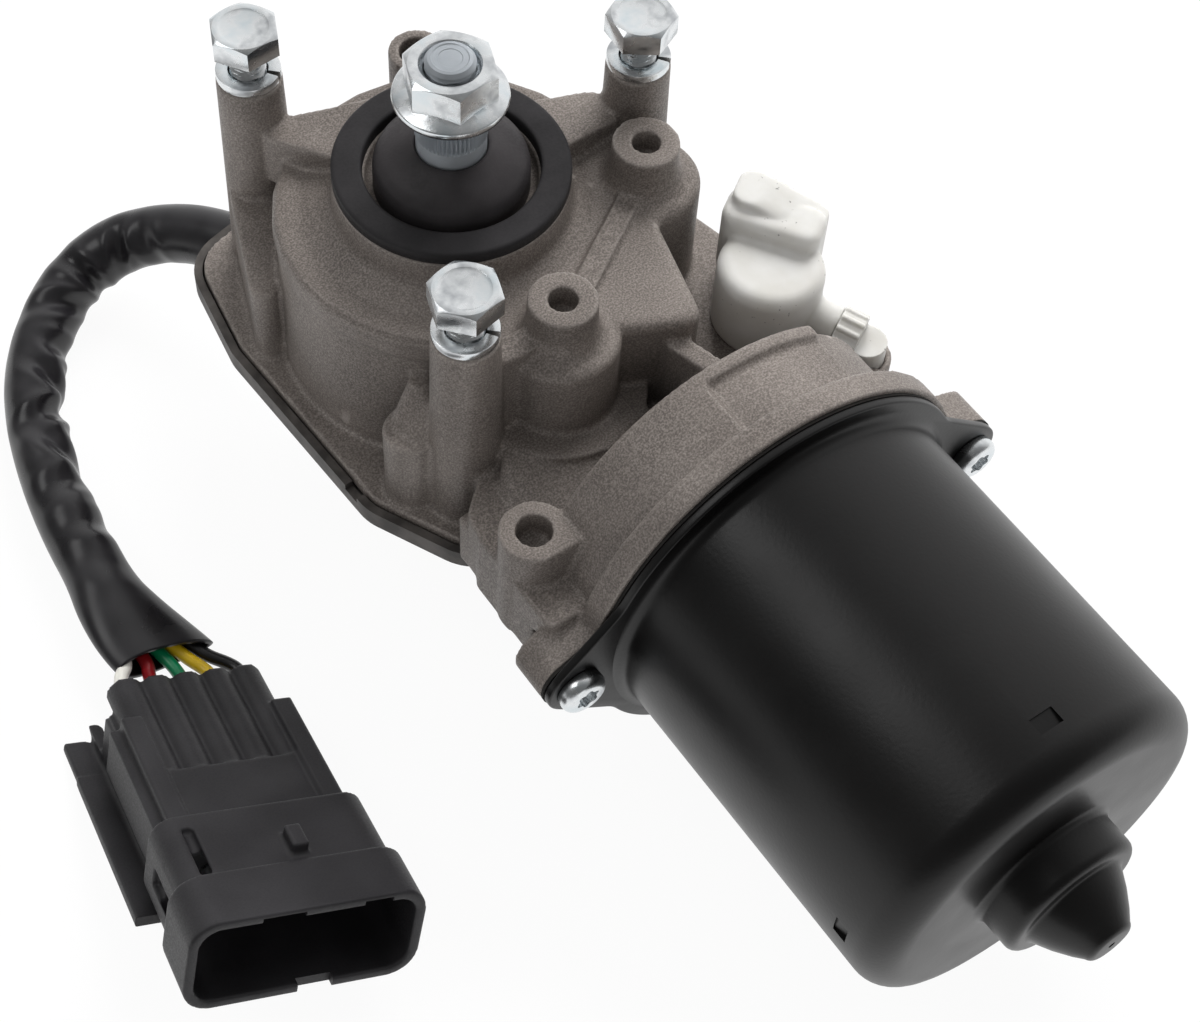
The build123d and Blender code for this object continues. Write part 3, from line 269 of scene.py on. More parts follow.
def sleeve_finish():
    material, tree = new_finish("sleeve_pvc", linear(30, 29, 31), 0.3)
    wide = noise_at(tree, 140, 3)
    fine = noise_at(tree, 2600, 2)
    varied(tree, "Base Color", wide, [(0.35, linear(26, 25, 27)), (0.7, linear(37, 36, 38))])
    varied(tree, "Roughness", wide, greys((0.35, 0.26), (0.7, 0.38)))
    bumped(tree, wide, 0.0003, 0.12)
    bumped(tree, fine, 0.00002, 0.25)
    return material


# Where the tube has buckled on the inside of its bend: millimetres along it, millimetres round
# it from its inmost line, half width and half length of the fold, its slant and its depth.
sleeve_folds = (
    (24.0, 5.0, 1.9, 5.0, 15, 0.7),
    (31.0, 5.0, 1.6, 5.5, -24, 1.1),
    (40.5, 3.0, 1.6, 7.5, 4, 1.2),
    (48.5, 4.0, 1.8, 7.0, 28, 1.3),
    (58.5, 2.0, 1.9, 5.0, 12, 1.1),
    (66.5, 4.0, 1.9, 6.5, -36, 1.3),
    (74.0, 3.0, 1.9, 7.0, 24, 1.6),
    (82.5, 5.0, 1.9, 7.5, -48, 1.1),
    (91.0, 6.0, 2.2, 5.0, 14, 1.0),
    (100.5, 5.0, 2.2, 6.5, -6, 0.6),
    (109.0, 6.5, 2.8, 5.5, -30, 0.6),
)


SLACK, OVAL, SWELL = 0.975, 0.018, 0.01
CREST_SHARE, CREST_OFF, CREST_WIDTH = 0.24, 1.7, 0.6


def buckled_radius(distance, turn):
    """The sleeve's radius at a distance along it and a turn from its inmost line: slack, a
    little oval and swelling, with each fold a dent between two low crests."""
    along, around = distance / MM, turn * SLEEVE_RADIUS / MM
    share = SLACK + OVAL * math.cos(2 * turn + 0.05 * along) + SWELL * math.sin(0.21 * along)
    radius = SLEEVE_RADIUS / MM * share
    for fold_along, fold_around, half_width, half_length, slant, depth in sleeve_folds:
        lean = math.radians(slant)
        off, over = along - fold_along, around - fold_around
        across = (off * math.cos(lean) - over * math.sin(lean)) / half_width
        lengthwise = (off * math.sin(lean) + over * math.cos(lean)) / half_length
        if abs(across) < 5 and abs(lengthwise) < 3:
            fade = math.exp(-(lengthwise**2))
            radius -= depth * fade * math.exp(-(across**2))
            radius += CREST_SHARE * depth * fade * math.exp(-(((abs(across) - CREST_OFF) / CREST_WIDTH) ** 2))
    return min(radius, 1.05 * SLEEVE_RADIUS / MM) * MM


sleeve_places = [at(*station) for station in sleeve_stations]
RING_STEP, RING_POINTS = 0.35 * MM, 72
sleeve_line = walked(line_of(spline_through("sleeve_line", sleeve_places)), RING_STEP)
sleeve_length = sum((b - a).length for a, b in zip(sleeve_line, sleeve_line[1:]))
plug_sideways = (plug_frame.to_3x3() @ Vector((1, 0, 0))).normalized()
FLATTENED_RUN = 24 * MM
LOOP_MIDDLE = at(-38, 18, -64)
sleeve_verts, sleeve_faces = [], []
for index, place in enumerate(sleeve_line):
    before = sleeve_line[max(index - 1, 0)]
    after = sleeve_line[min(index + 1, len(sleeve_line) - 1)]
    heading = (after - before).normalized()
    side = (plug_sideways - heading * plug_sideways.dot(heading)).normalized()
    over = heading.cross(side)
    distance = index * RING_STEP
    inward = LOOP_MIDDLE - place
    inmost = math.atan2(inward.dot(over), inward.dot(side))
    quarter = inmost + math.pi / 2
    upward = 1 if (side * math.cos(quarter) + over * math.sin(quarter)).z >= 0 else -1
    squash = max(0.0, 1 - (sleeve_length - distance) / FLATTENED_RUN)
    squash = squash * squash * (3 - 2 * squash)
    for step in range(RING_POINTS):
        angle = 2 * math.pi * step / RING_POINTS
        turn = (angle - inmost + math.pi) % (2 * math.pi) - math.pi
        radius = buckled_radius(distance, turn * upward)
        wide = radius * (1 - squash) + MOUTH_HALF_WIDTH * squash
        high = radius * (1 - squash) + MOUTH_HALF_HEIGHT * squash
        lean = (MOUTH_WAVE * math.sin(2 * angle + 0.4) - MOUTH_SLANT * math.cos(angle)) * squash
        outward = side * math.cos(angle) * wide + over * math.sin(angle) * high
        sleeve_verts.append(place + outward + heading * lean)
for ring in range(len(sleeve_line) - 1):
    for step in range(RING_POINTS):
        here = ring * RING_POINTS + step
        beside = ring * RING_POINTS + (step + 1) % RING_POINTS
        sleeve_faces.append((here, beside, beside + RING_POINTS, here + RING_POINTS))
sleeve = object_from("sleeve", sleeve_verts, sleeve_faces)
applied(sleeve, "SOLIDIFY", thickness=SLEEVE_WALL, offset=-1)
smoothed(sleeve)
finished(sleeve, sleeve_finish(), "motor_unit", "sleeve_pvc", "harness_sleeve", "sleeve_end")


# The five wires: PVC-covered copper, each a little loose, from the sleeve's mouth into its
# round entry in the plug, in the order white, red, green, yellow and black.
WIRE_RADIUS = 1.15 * MM
WAY_PITCH = 5.0 * MM
WIRE_GAP = 0.6 * MM
wire_sways = (0.5, -0.3, 0.4, -0.2, 0.3)
wire_colours = {
    "white": linear(226, 224, 216),
    "red": linear(128, 24, 30),
    "green": linear(12, 116, 76),
    "yellow": linear(214, 178, 34),
    "black": linear(24, 24, 25),
}


def insulation_finish(name, colour):
    material, tree = new_finish("insulation_" + name, colour, 0.32)
    shade = noise_at(tree, 300, 2)
    dull = tuple(part * 0.82 for part in colour)
    varied(tree, "Base Color", shade, [(0.3, dull), (0.65, colour)])
    bumped(tree, noise_at(tree, 1800, 2), 0.00003, 0.3)
    return material


for way, (name, colour) in enumerate(wire_colours.items()):
    spread = (2 - way) * (2 * WIRE_RADIUS + WIRE_GAP)
    entry = Vector(((2 - way) * WAY_PITCH, 0, 0))
    mouth = sleeve_places[-1] + plug_sideways * spread
    tail = (sleeve_places[-2] - sleeve_places[-1]).normalized()
    sway = Vector((0, 0, wire_sways[way] * MM))
    route = [
        mouth + tail * 6 * MM,
        mouth + tail * 0.5 * MM,
        plug_frame @ (entry + Vector((0, -3.0 * MM, 0))) + sway,
        plug_frame @ entry,
        plug_frame @ (entry + Vector((0, 5.0 * MM, 0))),
    ]
    curve = spline_through("wire_" + name + "_line", route)
    curve.bevel_depth = WIRE_RADIUS * 0.98
    curve.bevel_resolution = 5
    curve.use_fill_caps = True
    wire = bpy.data.objects.new("lead_" + name, curve)
    bpy.context.collection.objects.link(wire)
    finished(wire, insulation_finish(name, colour), "motor_unit", "wire_" + name, "wire_" + name)


# The floor and the light: a white sweep under the motor and soft lamps above it, so that the
# picture's ground is white and the object keeps a faint shadow. The floor shines by itself for
# the camera and in reflections.
FLOOR = -80.75 * MM
FLOOR_SIZE = 6
GLOW_SHARE = 0.94


def either_ray(tree, *kinds):
    """One for rays of either of two kinds, and zero for others."""
    rays = tree.nodes.new("ShaderNodeLightPath")
    either = tree.nodes.new("ShaderNodeMath")
    either.operation = "MAXIMUM"
    for kind, socket in zip(kinds, either.inputs):
        tree.links.new(rays.outputs[kind], socket)
    return either.outputs["Value"]


def mixed_shaders(tree, factor, first, second):
    mix = tree.nodes.new("ShaderNodeMixShader")
    for output, socket in zip((factor, first, second), mix.inputs):
        tree.links.new(output, socket)
    return mix.outputs["Shader"]


bpy.ops.mesh.primitive_plane_add(size=FLOOR_SIZE, location=(0, 0, FLOOR))
floor = bpy.context.object
floor.name = "floor"
material, tree = new_finish("floor_paper", (0.93, 0.93, 0.93), 0.9, specular=0.1)
glow = tree.nodes.new("ShaderNodeEmission")
share = tree.nodes.new("ShaderNodeMath")
share.operation = "MULTIPLY"
share.inputs[1].default_value = GLOW_SHARE
tree.links.new(either_ray(tree, "Is Camera Ray", "Is Glossy Ray"), share.inputs[0])
matt = tree.nodes[SHADER].outputs["BSDF"]
sweep = mixed_shaders(tree, share.outputs["Value"], matt, glow.outputs["Emission"])
tree.links.new(sweep, tree.nodes["Material Output"].inputs["Surface"])
floor.data.materials.append(material)

# Reflections see the white sweep on the motor's far side and a dim room over and behind the
# camera, by fixed directions, so that black paint stays black and bright metal has its contrast.
SWEEP_DIRECTION = (0.791, 0.554, 0.259)
FILL_LEVEL = 0.5
room_levels = greys((0.15, 0.13), (0.45, 0.18), (0.65, 0.30), (0.86, 0.80), (0.95, 1.0))
world = bpy.data.worlds.new("studio")
bpy.context.scene.world = world
world.use_nodes = True
tree = world.node_tree
plain = tree.nodes["Background"]
plain.inputs["Color"].default_value = (1, 1, 1, 1)
plain.inputs["Strength"].default_value = FILL_LEVEL
white = tree.nodes.new("ShaderNodeBackground")
white.inputs["Color"].default_value = (1, 1, 1, 1)
mirrored = tree.nodes.new("ShaderNodeBackground")
place = tree.nodes.new("ShaderNodeTexCoord")
towards = tree.nodes.new("ShaderNodeVectorMath")
towards.operation = "DOT_PRODUCT"
towards.inputs[1].default_value = SWEEP_DIRECTION
tree.links.new(place.outputs["Generated"], towards.inputs[0])
shares = tree.nodes.new("ShaderNodeMapRange")
shares.inputs["From Min"].default_value = -1.0
tree.links.new(towards.outputs["Value"], shares.inputs["Value"])
tree.links.new(between(tree, shares.outputs["Result"], room_levels), mirrored.inputs["Color"])
glossy = tree.nodes.new("ShaderNodeLightPath").outputs["Is Glossy Ray"]
lit = mixed_shaders(tree, glossy, plain.outputs["Background"], mirrored.outputs["Background"])
seen = either_ray(tree, "Is Camera Ray", "Is Transmission Ray")
studio = mixed_shaders(tree, seen, lit, white.outputs["Background"])
tree.links.new(studio, tree.nodes["World Output"].inputs["Surface"])


MOTOR_MIDDLE = Vector((0, -0.05, -0.04))


def soft_lamp(name, place, size, watts, mirrored):
    """A square lamp aimed at the motor, which reflections show only if it is mirrored."""
    bpy.ops.object.light_add(type="AREA", location=place)
    lamp = bpy.context.object
    lamp.name = name
    lamp.data.shape = "SQUARE"
    lamp.data.size = size
    lamp.data.energy = watts
    lamp.visible_glossy = mirrored
    lamp.rotation_euler = (MOTOR_MIDDLE - Vector(place)).to_track_quat("-Z", "Y").to_euler()


soft_lamp("key_lamp", (0.67, 0.44, 0.68), 0.7, 19.0, False)
soft_lamp("back_lamp", (-0.50, 0.34, 0.84), 0.5, 1.7, True)
soft_lamp("near_lamp", (-0.30, -0.85, 0.45), 0.5, 1.4, False)


# The gear housing: aluminium die-cast in one shot with its posts, bosses, ribs and collar, then
# shot-blasted to an even matt grey. Every inner corner has a fillet and every edge is dulled.
def merged_copy(node, name):
    """A copy of a CAD node's mesh with its loose triangles joined, as a piece of its own."""
    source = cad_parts[node]
    piece = bpy.data.objects.new(name, source.data.copy())
    bpy.context.collection.objects.link(piece)
    piece.data.materials.clear()
    open_mesh(piece)
    bpy.ops.mesh.remove_doubles(threshold=0.000002)
    bpy.ops.object.mode_set(mode="OBJECT")
    return piece


MOST_TRIANGLES = 190000


def cast_over(piece, voxel, passes):
    """Rounds a piece's corners all over, as a mould and blasting leave them, and then thins a
    mesh of too many triangles where it is flattest."""
    applied(piece, "REMESH", mode="VOXEL", voxel_size=voxel * 1)
    applied(piece, "SMOOTH", factor=0.5, iterations=passes)
    triangles = sum(len(face.vertices) - 2 for face in piece.data.polygons)
    if triangles > MOST_TRIANGLES:
        applied(piece, "DECIMATE", ratio=MOST_TRIANGLES / triangles)
    smoothed(piece)


def casting_finish():
    grey, light = linear(116, 109, 104), linear(146, 138, 132)
    # The last colour is the lighter edge colour: partly rubbed wear and partly a painted highlight on the
    # edges.
    dark, worn_edge_and_highlight = linear(86, 80, 76), linear(164, 157, 151)
    material, tree = new_finish("cast_aluminium", grey, 0.5, 0.3)
    wide = noise_at(tree, 60, 3)
    speck = noise_at(tree, 3300, 2)
    tone = between(tree, wide, [(0.3, dark), (0.55, grey), (0.8, light)])
    fleck = between(tree, speck, [(0.38, dark), (0.52, grey), (0.68, light)])
    mix = tree.nodes.new("ShaderNodeMix")
    mix.data_type = "RGBA"
    mix.inputs["Factor"].default_value = 0.6
    tree.links.new(tone, mix.inputs["A"])
    tree.links.new(fleck, mix.inputs["B"])
    # Convex edges are painted lighter by their pointiness: partly wear from handling, partly a painted
    # highlight where edges catch the light.
    geometry = tree.nodes.new("ShaderNodeNewGeometry")
    edge_wear_and_highlight = tree.nodes.new("ShaderNodeMapRange")
    edge_wear_and_highlight.inputs["From Min"].default_value = 0.515
    edge_wear_and_highlight.inputs["From Max"].default_value = 0.60
    edge_wear_and_highlight.inputs["To Max"].default_value = 0.55
    tree.links.new(geometry.outputs["Pointiness"], edge_wear_and_highlight.inputs["Value"])
    edge = tree.nodes.new("ShaderNodeMix")
    edge.data_type = "RGBA"
    edge.inputs["B"].default_value = (*worn_edge_and_highlight, 1)
    tree.links.new(edge_wear_and_highlight.outputs["Result"], edge.inputs["Factor"])
    tree.links.new(mix.outputs["Result"], edge.inputs["A"])
    tree.links.new(edge.outputs["Result"], tree.nodes[SHADER].inputs["Base Color"])
    varied(tree, "Roughness", speck, greys((0.3, 0.6), (0.7, 0.44)))
    bumped(tree, speck, 0.00005, 0.5)
    bumped(tree, noise_at(tree, 420, 3), 0.00014, 0.35)
    return material


def turned(name, stations, segments=128):
    """A piece turned about Z: a ring is extruded and resized through (radius, height) in mm.
    Stations that end where they start make a closed ring, and others are capped."""
    radius, height = stations[0]
    bpy.ops.object.select_all(action="DESELECT")
    bpy.ops.mesh.primitive_circle_add(vertices=segments, radius=radius * MM, location=(0, 0, height * MM))
    piece = bpy.context.object
    piece.name = name
    piece.data.name = name
    bpy.ops.object.transform_apply(location=True, rotation=True, scale=True)
    open_mesh(piece)
    for (before, start), (after, end) in zip(stations, stations[1:]):
        bpy.ops.mesh.extrude_region_move(TRANSFORM_OT_translate={"value": (0, 0, (end - start) * MM)})
        ratio = after / before
        bpy.ops.transform.resize(value=(ratio, ratio, 1), center_override=(0, 0, end * MM))
    if stations[0] != stations[-1]:
        bpy.ops.mesh.edge_face_add()
        bpy.ops.mesh.select_all(action="DESELECT")
        rings = bmesh.from_edit_mesh(piece.data)
        rings.verts.ensure_lookup_table()
        for index in range(segments):
            rings.verts[index].select = True
        rings.select_flush(True)
        bpy.ops.mesh.edge_face_add()
    bpy.ops.mesh.select_all(action="SELECT")
    bpy.ops.mesh.remove_doubles(threshold=0.000001)
    close_mesh()
    return piece


def from_seat(stations):
    """Stations with heights above the seal ring's top, moved to heights above the origin."""
    return [(radius, height - CRANK_SEAT) for radius, height in stations]


def moved(piece, x, y):
    piece.data.transform(Matrix.Translation((x * MM, y * MM, 0)))
    return piece


def joined(name, *pieces):
    chosen(pieces[0])
    for piece in pieces[1:]:
        piece.select_set(True)
    bpy.ops.object.join()
    pieces[0].name = name
    return pieces[0]


DISC_POINTS = 28


def hulled(name, foot, *discs):
    """A block drawn tight over upright discs (x, y, radius, top) that stand on one height."""
    verts = []
    for x, y, radius, top in discs:
        for step in range(DISC_POINTS):
            turn = 2 * math.pi * step / DISC_POINTS
            for height in (foot, top):
                verts.append(at(x + radius * math.cos(turn), y + radius * math.sin(turn), height))
    block = object_from(name, verts, [])
    open_mesh(block)
    bpy.ops.mesh.convex_hull()
    bpy.ops.object.mode_set(mode="OBJECT")
    return block


housing = merged_copy("gear_housing", "housing_casting")
PLATFORM, BOSS_RADIUS = -8.6, 5.7
CASTING_FOOT, DECK_FOOT, BLOCK_FOOT = -41.0, -29.5, -39.5
gear_spots = ((-0.5, -31.0), (28.5, -12.2))
cast_forms = [
    hulled(
        "post_plate_left", -16.0,
        (-16.3, 24.6, 2.6, -5.4), (-11.5, 15.6, 1.8, -4.6), (-1.0, 20.3, 1.8, -4.6),
    ),
    hulled(
        "post_plate_right", -16.0,
        (29.4, 3.4, 1.6, -5.4), (29.4, -1.0, 1.6, -5.4), (18.6, 6.5, 1.8, -4.6), (19.2, -1.8, 1.8, -4.6),
    ),
    hulled("dome_shoulder", -14.0, (0, 0, 27.7, -9.15), (0, 0, 28.5, -10.2)),
    hulled("left_wall_block", BLOCK_FOOT, (-19.6, 27.2, 5.2, -20.5), (-28.7, 11.4, 2.4, -22.5)),
    hulled(
        "foot_boss_slope", BLOCK_FOOT,
        (-24.0, -25.0, 4.4, -25.5), (-20.2, -21.4, 1.6, -17.5), (-21.0, -25.6, 1.5, -19.5),
    ),
    hulled(
        "boss_rib", -12.0,
        (4.6, -27.7, 1.9, -7.5), (9.0, -24.9, 1.0, -7.5), (19.0, -18.4, 1.0, -7.5), (23.4, -15.5, 1.9, -7.5),
    ),
    hulled("web_step", -20.0, (-16.0, -30.9, 1.6, -6.9), (-8.0, -31.6, 1.6, -6.9)),
    hulled(
        "deck_slope", DECK_FOOT,
        (-13.5, -36.6, 1.2, -23.0), (8.0, -43.2, 1.6, -22.9), (-17.4, -41.2, 1.2, -26.2),
        (-18.5, -46.8, 1.5, -26.6), (-14.0, -53.5, 2.0, -26.6), (6.0, -50.0, 2.0, -24.2),
    ),
    hulled(
        "slope_root", BLOCK_FOOT,
        (-14.5, -38.0, 1.2, -26.0), (-17.4, -41.2, 1.2, -26.4), (-18.5, -46.8, 1.5, -26.8),
    ),
    hulled(
        "shelf_flap", BLOCK_FOOT,
        (-24.0, -40.4, 1.2, -29.2), (-18.6, -42.0, 1.2, -27.4),
        (-18.8, -47.0, 2.0, -27.0), (-22.6, -47.6, 2.2, -27.4),
    ),
]
foot_profile = ((2.2, -0.6), (1.5, 0.1), (0.8, 0.6), (0.35, 1.3), (0.05, 2.4), (-0.4, 2.6))
foot_stations = [(4.0, PLATFORM - 1.0)]
foot_stations += [(BOSS_RADIUS + wider, PLATFORM + higher) for wider, higher in foot_profile]
hole_stations = [(2.8, PLATFORM - 0.6), (2.8, PLATFORM + 3.4), (0.4, PLATFORM + 3.2)]
for x, y in gear_spots:
    boss_foot = turned("boss_foot", from_seat(foot_stations), 64)
    hole_foot = turned("hole_foot", from_seat(hole_stations), 32)
    cast_forms += [moved(boss_foot, x, y), moved(hole_foot, x, y)]
side_hole_foot = turned("side_hole_foot", from_seat([(3.2, -27.0), (3.2, -22.9), (0.4, -23.1)]), 32)
cast_forms.append(moved(side_hole_foot, -20.6, -53.3))
joined("housing_casting", housing, *cast_forms)
cast_over(housing, 0.46 * MM, 2)
finished(housing, casting_finish(), "motor_unit", "cast_housing", "gear_housing")


# The pressed cover closes the casting from below; its lip stands round the casting's foot with
# a dark gap between, and a paper gasket and four screws seal it. Sheet steel, dull grey.
def sheet_finish():
    steel, dark = linear(92, 88, 85), linear(62, 59, 57)
    material, tree = new_finish("cover_sheet", steel, 0.5, 0.5)
    tone = noise_at(tree, 220, 4)
    varied(tree, "Base Color", tone, [(0.35, dark), (0.65, steel)])
    bumped(tree, noise_at(tree, 1600, 2), 0.00005, 0.4)
    return material


def paper_finish():
    shade = linear(38, 36, 34)
    material, tree = new_finish("gasket_paper", shade, 0.85)
    fibre = noise_at(tree, 1400, 4)
    varied(tree, "Base Color", fibre, [(0.3, linear(24, 23, 22)), (0.7, shade)])
    bumped(tree, fibre, 0.00004, 0.4)
    return material


def dress(node, material):
    """A material on a CAD node that keeps its own shape."""
    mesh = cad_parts[node].data
    mesh.materials.clear()
    mesh.materials.append(material)


paper = paper_finish()
dress("gear_cover", sheet_finish())
dress("cover_gasket", paper)


# The flat seal ring lies on the hub, pressed between the housing and the car's bulkhead; the
# domed boot inside it wipes the shaft. Both are moulded nitrile rubber, matt and nearly black.
def edge_softened(piece, width, angle=35, segments=2):
    """Narrow rounded edges where faces meet at more than an angle."""
    corner = math.radians(angle)
    applied(piece, "BEVEL", width=width, segments=segments, limit_method="ANGLE", angle_limit=corner)
    smoothed(piece, angle)


def rubber_finish(name, shade, roughness):
    material, tree = new_finish(name, shade, roughness, specular=0.2)
    wide = noise_at(tree, 180, 4)
    fine = noise_at(tree, 2200, 3)
    pale = tuple(part * 1.5 for part in shade)
    varied(tree, "Base Color", wide, [(0.35, shade), (0.75, pale)])
    varied(tree, "Roughness", fine, greys((0.3, roughness - 0.08), (0.7, roughness + 0.1)))
    bumped(tree, fine, 0.00004, 0.5)
    return material


seal_rubber = rubber_finish("seal_rubber", linear(38, 37, 38), 0.55)
ring = turned("seal_ring", from_seat([
    (13.9, -2.3), (18.5, -2.3), (18.7, -2.1), (18.7, -0.45), (18.6, -0.2), (18.35, -0.03),
    (18.0, 0.0), (14.6, 0.0), (14.2, -0.06), (13.98, -0.25), (13.9, -0.6), (13.9, -2.3),
]))
smoothed(ring, 50)
finished(ring, seal_rubber, "motor_unit", "grey_rubber", "hub_ring_seal")
boot = turned("shaft_boot", from_seat([
    (12.3, -4.2), (12.3, -0.7), (12.27, -0.2), (12.15, 0.35), (12.0, 0.95), (11.75, 1.55), (11.35, 2.1),
    (10.7, 2.65), (9.8, 3.15), (8.7, 3.62), (7.6, 4.05), (6.9, 4.35), (6.35, 4.52), (5.95, 4.55),
    (5.7, 4.42), (5.6, 4.1), (5.6, 3.1), (7.0, 2.3), (8.8, 0.9), (10.4, -0.8), (10.8, -4.2), (12.3, -4.2),
]))
smoothed(boot, 50)
boot_rubber = rubber_finish("boot_rubber", linear(46, 44, 45), 0.5)
finished(boot, boot_rubber, "motor_unit", "black_rubber", "shaft_seal")


# The output shaft: ground steel, with fine straight splines rolled on below an M8 thread, and
# its end left with a turned face. The crank wedges on the splines under the flange nut.
def threaded(piece, foot, top, pitch, depth):
    """Winds a thread of this pitch into a turned piece's side between two heights."""
    for vertex in piece.data.vertices:
        x, y, z = vertex.co
        radius = math.hypot(x, y)
        if foot * MM < z < top * MM and radius > 0.5 * MM:
            phase = (z / (pitch * MM) - math.atan2(y, x) / (2 * math.pi)) % 1
            drop = abs(2 * phase - 1) * depth * MM
            vertex.co.x *= (radius - drop) / radius
            vertex.co.y *= (radius - drop) / radius


def rows(radius, start, end, step):
    """Stations of a straight run, close enough together to hold a thread."""
    count = max(round((end - start) / step), 1)
    return [(radius, start + (end - start) * index / count) for index in range(count + 1)]


LEVEL, UPRIGHT_LAY = (1, 1, 1), (1, 1, 30)


def steel_finish(name, shade, roughness, streak=UPRIGHT_LAY):
    material, tree = new_finish(name, shade, roughness, 1.0)
    lay = noise_at(tree, 900, 3, streak)
    wide = noise_at(tree, 120, 3)
    dull = tuple(part * 0.72 for part in shade)
    varied(tree, "Base Color", wide, [(0.35, dull), (0.7, shade)])
    varied(tree, "Roughness", lay, greys((0.3, roughness - 0.06), (0.7, roughness + 0.12)))
    bumped(tree, lay, 0.00002, 0.4)
    return material


ground_steel = steel_finish("ground_steel", linear(186, 192, 198), 0.42)
ground_steel.node_tree.nodes[SHADER].inputs["Metallic"].default_value = 0.7
SPLINES, SPLINE_HALF_DEPTH = 50, 0.28
SPLINE_ROOT, SPLINE_TOP = 7.4 - CRANK_SEAT, 14.0 - CRANK_SEAT
shaft_stations = [
    (5.2, -30.6), (5.5, -30.3), (5.5, 6.9), (5.5, 7.2), *rows(5.7, 7.5, 13.6, 1.2), (5.3, 14.25),
    (3.9, 14.25), *rows(3.9, 14.5, 21.9, 0.2), (3.4, 22.5), (2.9, 22.6), (2.7, 22.48),
    (1.9, 22.5), (1.8, 22.42), (0.3, 22.44),
]
shaft = turned("splined_shaft", from_seat(shaft_stations), segments=SPLINES * 4)
for vertex in shaft.data.vertices:
    x, y, z = vertex.co
    radius = math.hypot(x, y)
    if SPLINE_ROOT * MM < z < SPLINE_TOP * MM and radius > 5.4 * MM:
        groove = SPLINE_HALF_DEPTH * (1 - math.cos(SPLINES * math.atan2(y, x))) * MM
        vertex.co.x *= (radius - groove) / radius
        vertex.co.y *= (radius - groove) / radius
threaded(shaft, 14.6 - CRANK_SEAT, 21.7 - CRANK_SEAT, 1.25, 0.6)
smoothed(shaft, 30)
finished(shaft, ground_steel, "output", "shaft_steel", "output_shaft")


# The flange nut: M8, 13 mm across flats, cold-formed with a wide flange and zinc plated bright.
# Its corners are turned off above and run down into the flange's cone.
def boolean(piece, tool, operation):
    """Cuts, joins or intersects a piece with a tool, which is then gone."""
    applied(piece, "BOOLEAN", operation=operation, object=tool, solver="EXACT")
    bpy.data.objects.remove(tool)


def hexagon(name, across_flats, foot, top, turn, slope=1.73):
    """A hexagon bar whose upper corners are turned off to a cone."""
    bpy.ops.object.select_all(action="DESELECT")
    bpy.ops.mesh.primitive_cylinder_add(
        vertices=6,
        radius=across_flats / math.sqrt(3) * MM,
        depth=(top - foot) * MM,
        location=(0, 0, (foot + top) / 2 * MM),
        rotation=(0, 0, math.radians(30 + turn)),
    )
    bar = bpy.context.object
    bar.name = name
    bpy.ops.object.transform_apply(location=True, rotation=True, scale=True)
    face = across_flats / 2 - 0.15
    wide = face + slope * (top - foot + 0.1)
    cone = turned(name + "_cone", [(wide, foot - 0.1), (face, top), (face - 1.0, top + 0.001)])
    boolean(bar, cone, "INTERSECT")
    return bar


def zinc_finish():
    pale, blue, dull = (0.78, 0.80, 0.81), (0.66, 0.72, 0.75), (0.48, 0.50, 0.52)
    material, tree = new_finish("bright_zinc", pale, 0.2, 1.0)
    wide = noise_at(tree, 260, 4)
    fine = noise_at(tree, 2400, 3)
    varied(tree, "Base Color", wide, [(0.3, dull), (0.5, pale), (0.72, blue)])
    varied(tree, "Roughness", wide, greys((0.3, 0.36), (0.65, 0.2)))
    bumped(tree, fine, 0.00003, 0.35)
    bumped(tree, wide, 0.0001, 0.25)
    return material


zinc = zinc_finish()
NUT_SEAT = 14.25 - CRANK_SEAT


def over_nut_seat(stations):
    return [(radius, NUT_SEAT + height) for radius, height in stations]


nut = hexagon("nut_hexagon", 13.0, NUT_SEAT + 0.6, NUT_SEAT + 7.2, 8)
flange = turned("nut_flange", over_nut_seat([
    (4.2, 0), (8.5, 0), (8.85, 0.2), (8.95, 0.7), (8.85, 1.2), (8.6, 1.4), (7.6, 1.75), (6.6, 2.2),
    (4.2, 2.4), (4.2, 0),
]))
boolean(nut, flange, "UNION")
bore = turned("nut_bore", over_nut_seat([(4.6, -0.2), (3.98, 0.6), (3.98, 6.3), (4.9, 7.3), (4.8, 7.4)]))
boolean(nut, bore, "DIFFERENCE")
edge_softened(nut, 0.22 * MM, 28)
nut.name = "flange_nut_piece"
finished(nut, zinc, "nut", "zinc_fastener", "flange_nut")


# Three M6 bolts for the bracket, half screwed into the posts, each over a split spring washer:
# cold-headed with a shallow dished top, left bare, thread rolled, zinc plated.
BOLT_HEAD, BOLT_HEAD_HEIGHT = 8.8 - CRANK_SEAT, 4.0
POST_TOP, POST_CIRCLE = 2.5 - CRANK_SEAT, 35.5
WASHER_MIDDLE, WASHER_WIDTH, WASHER_HEIGHT = 4.15, 2.0, 1.5
post_angles = (0, 120, 240)
bolt_turns = (25.0, 5.0, 12.0)


def bracket_bolt(turn):
    """A bolt on Z whose head is turned by this angle."""
    head = hexagon("head", 10.0, BOLT_HEAD, BOLT_HEAD + BOLT_HEAD_HEIGHT, turn)
    dish = turned("dish", [
        (4.0, BOLT_HEAD + 4.2), (3.9, BOLT_HEAD + 3.98), (3.4, BOLT_HEAD + 3.88), (0.1, BOLT_HEAD + 3.84),
    ])
    boolean(head, dish, "DIFFERENCE")
    edge_softened(head, 0.2 * MM, 28)
    thread = rows(2.94, BOLT_HEAD - 20.4, BOLT_HEAD - 0.6, 0.17)
    shank = turned("shank", [(2.2, BOLT_HEAD - 21.0), *thread, (2.7, BOLT_HEAD + 0.2)], 40)
    threaded(shank, BOLT_HEAD - 20.6, BOLT_HEAD - 0.7, 1.0, 0.5)
    smoothed(shank, 40)
    return joined("bolt", head, shank)


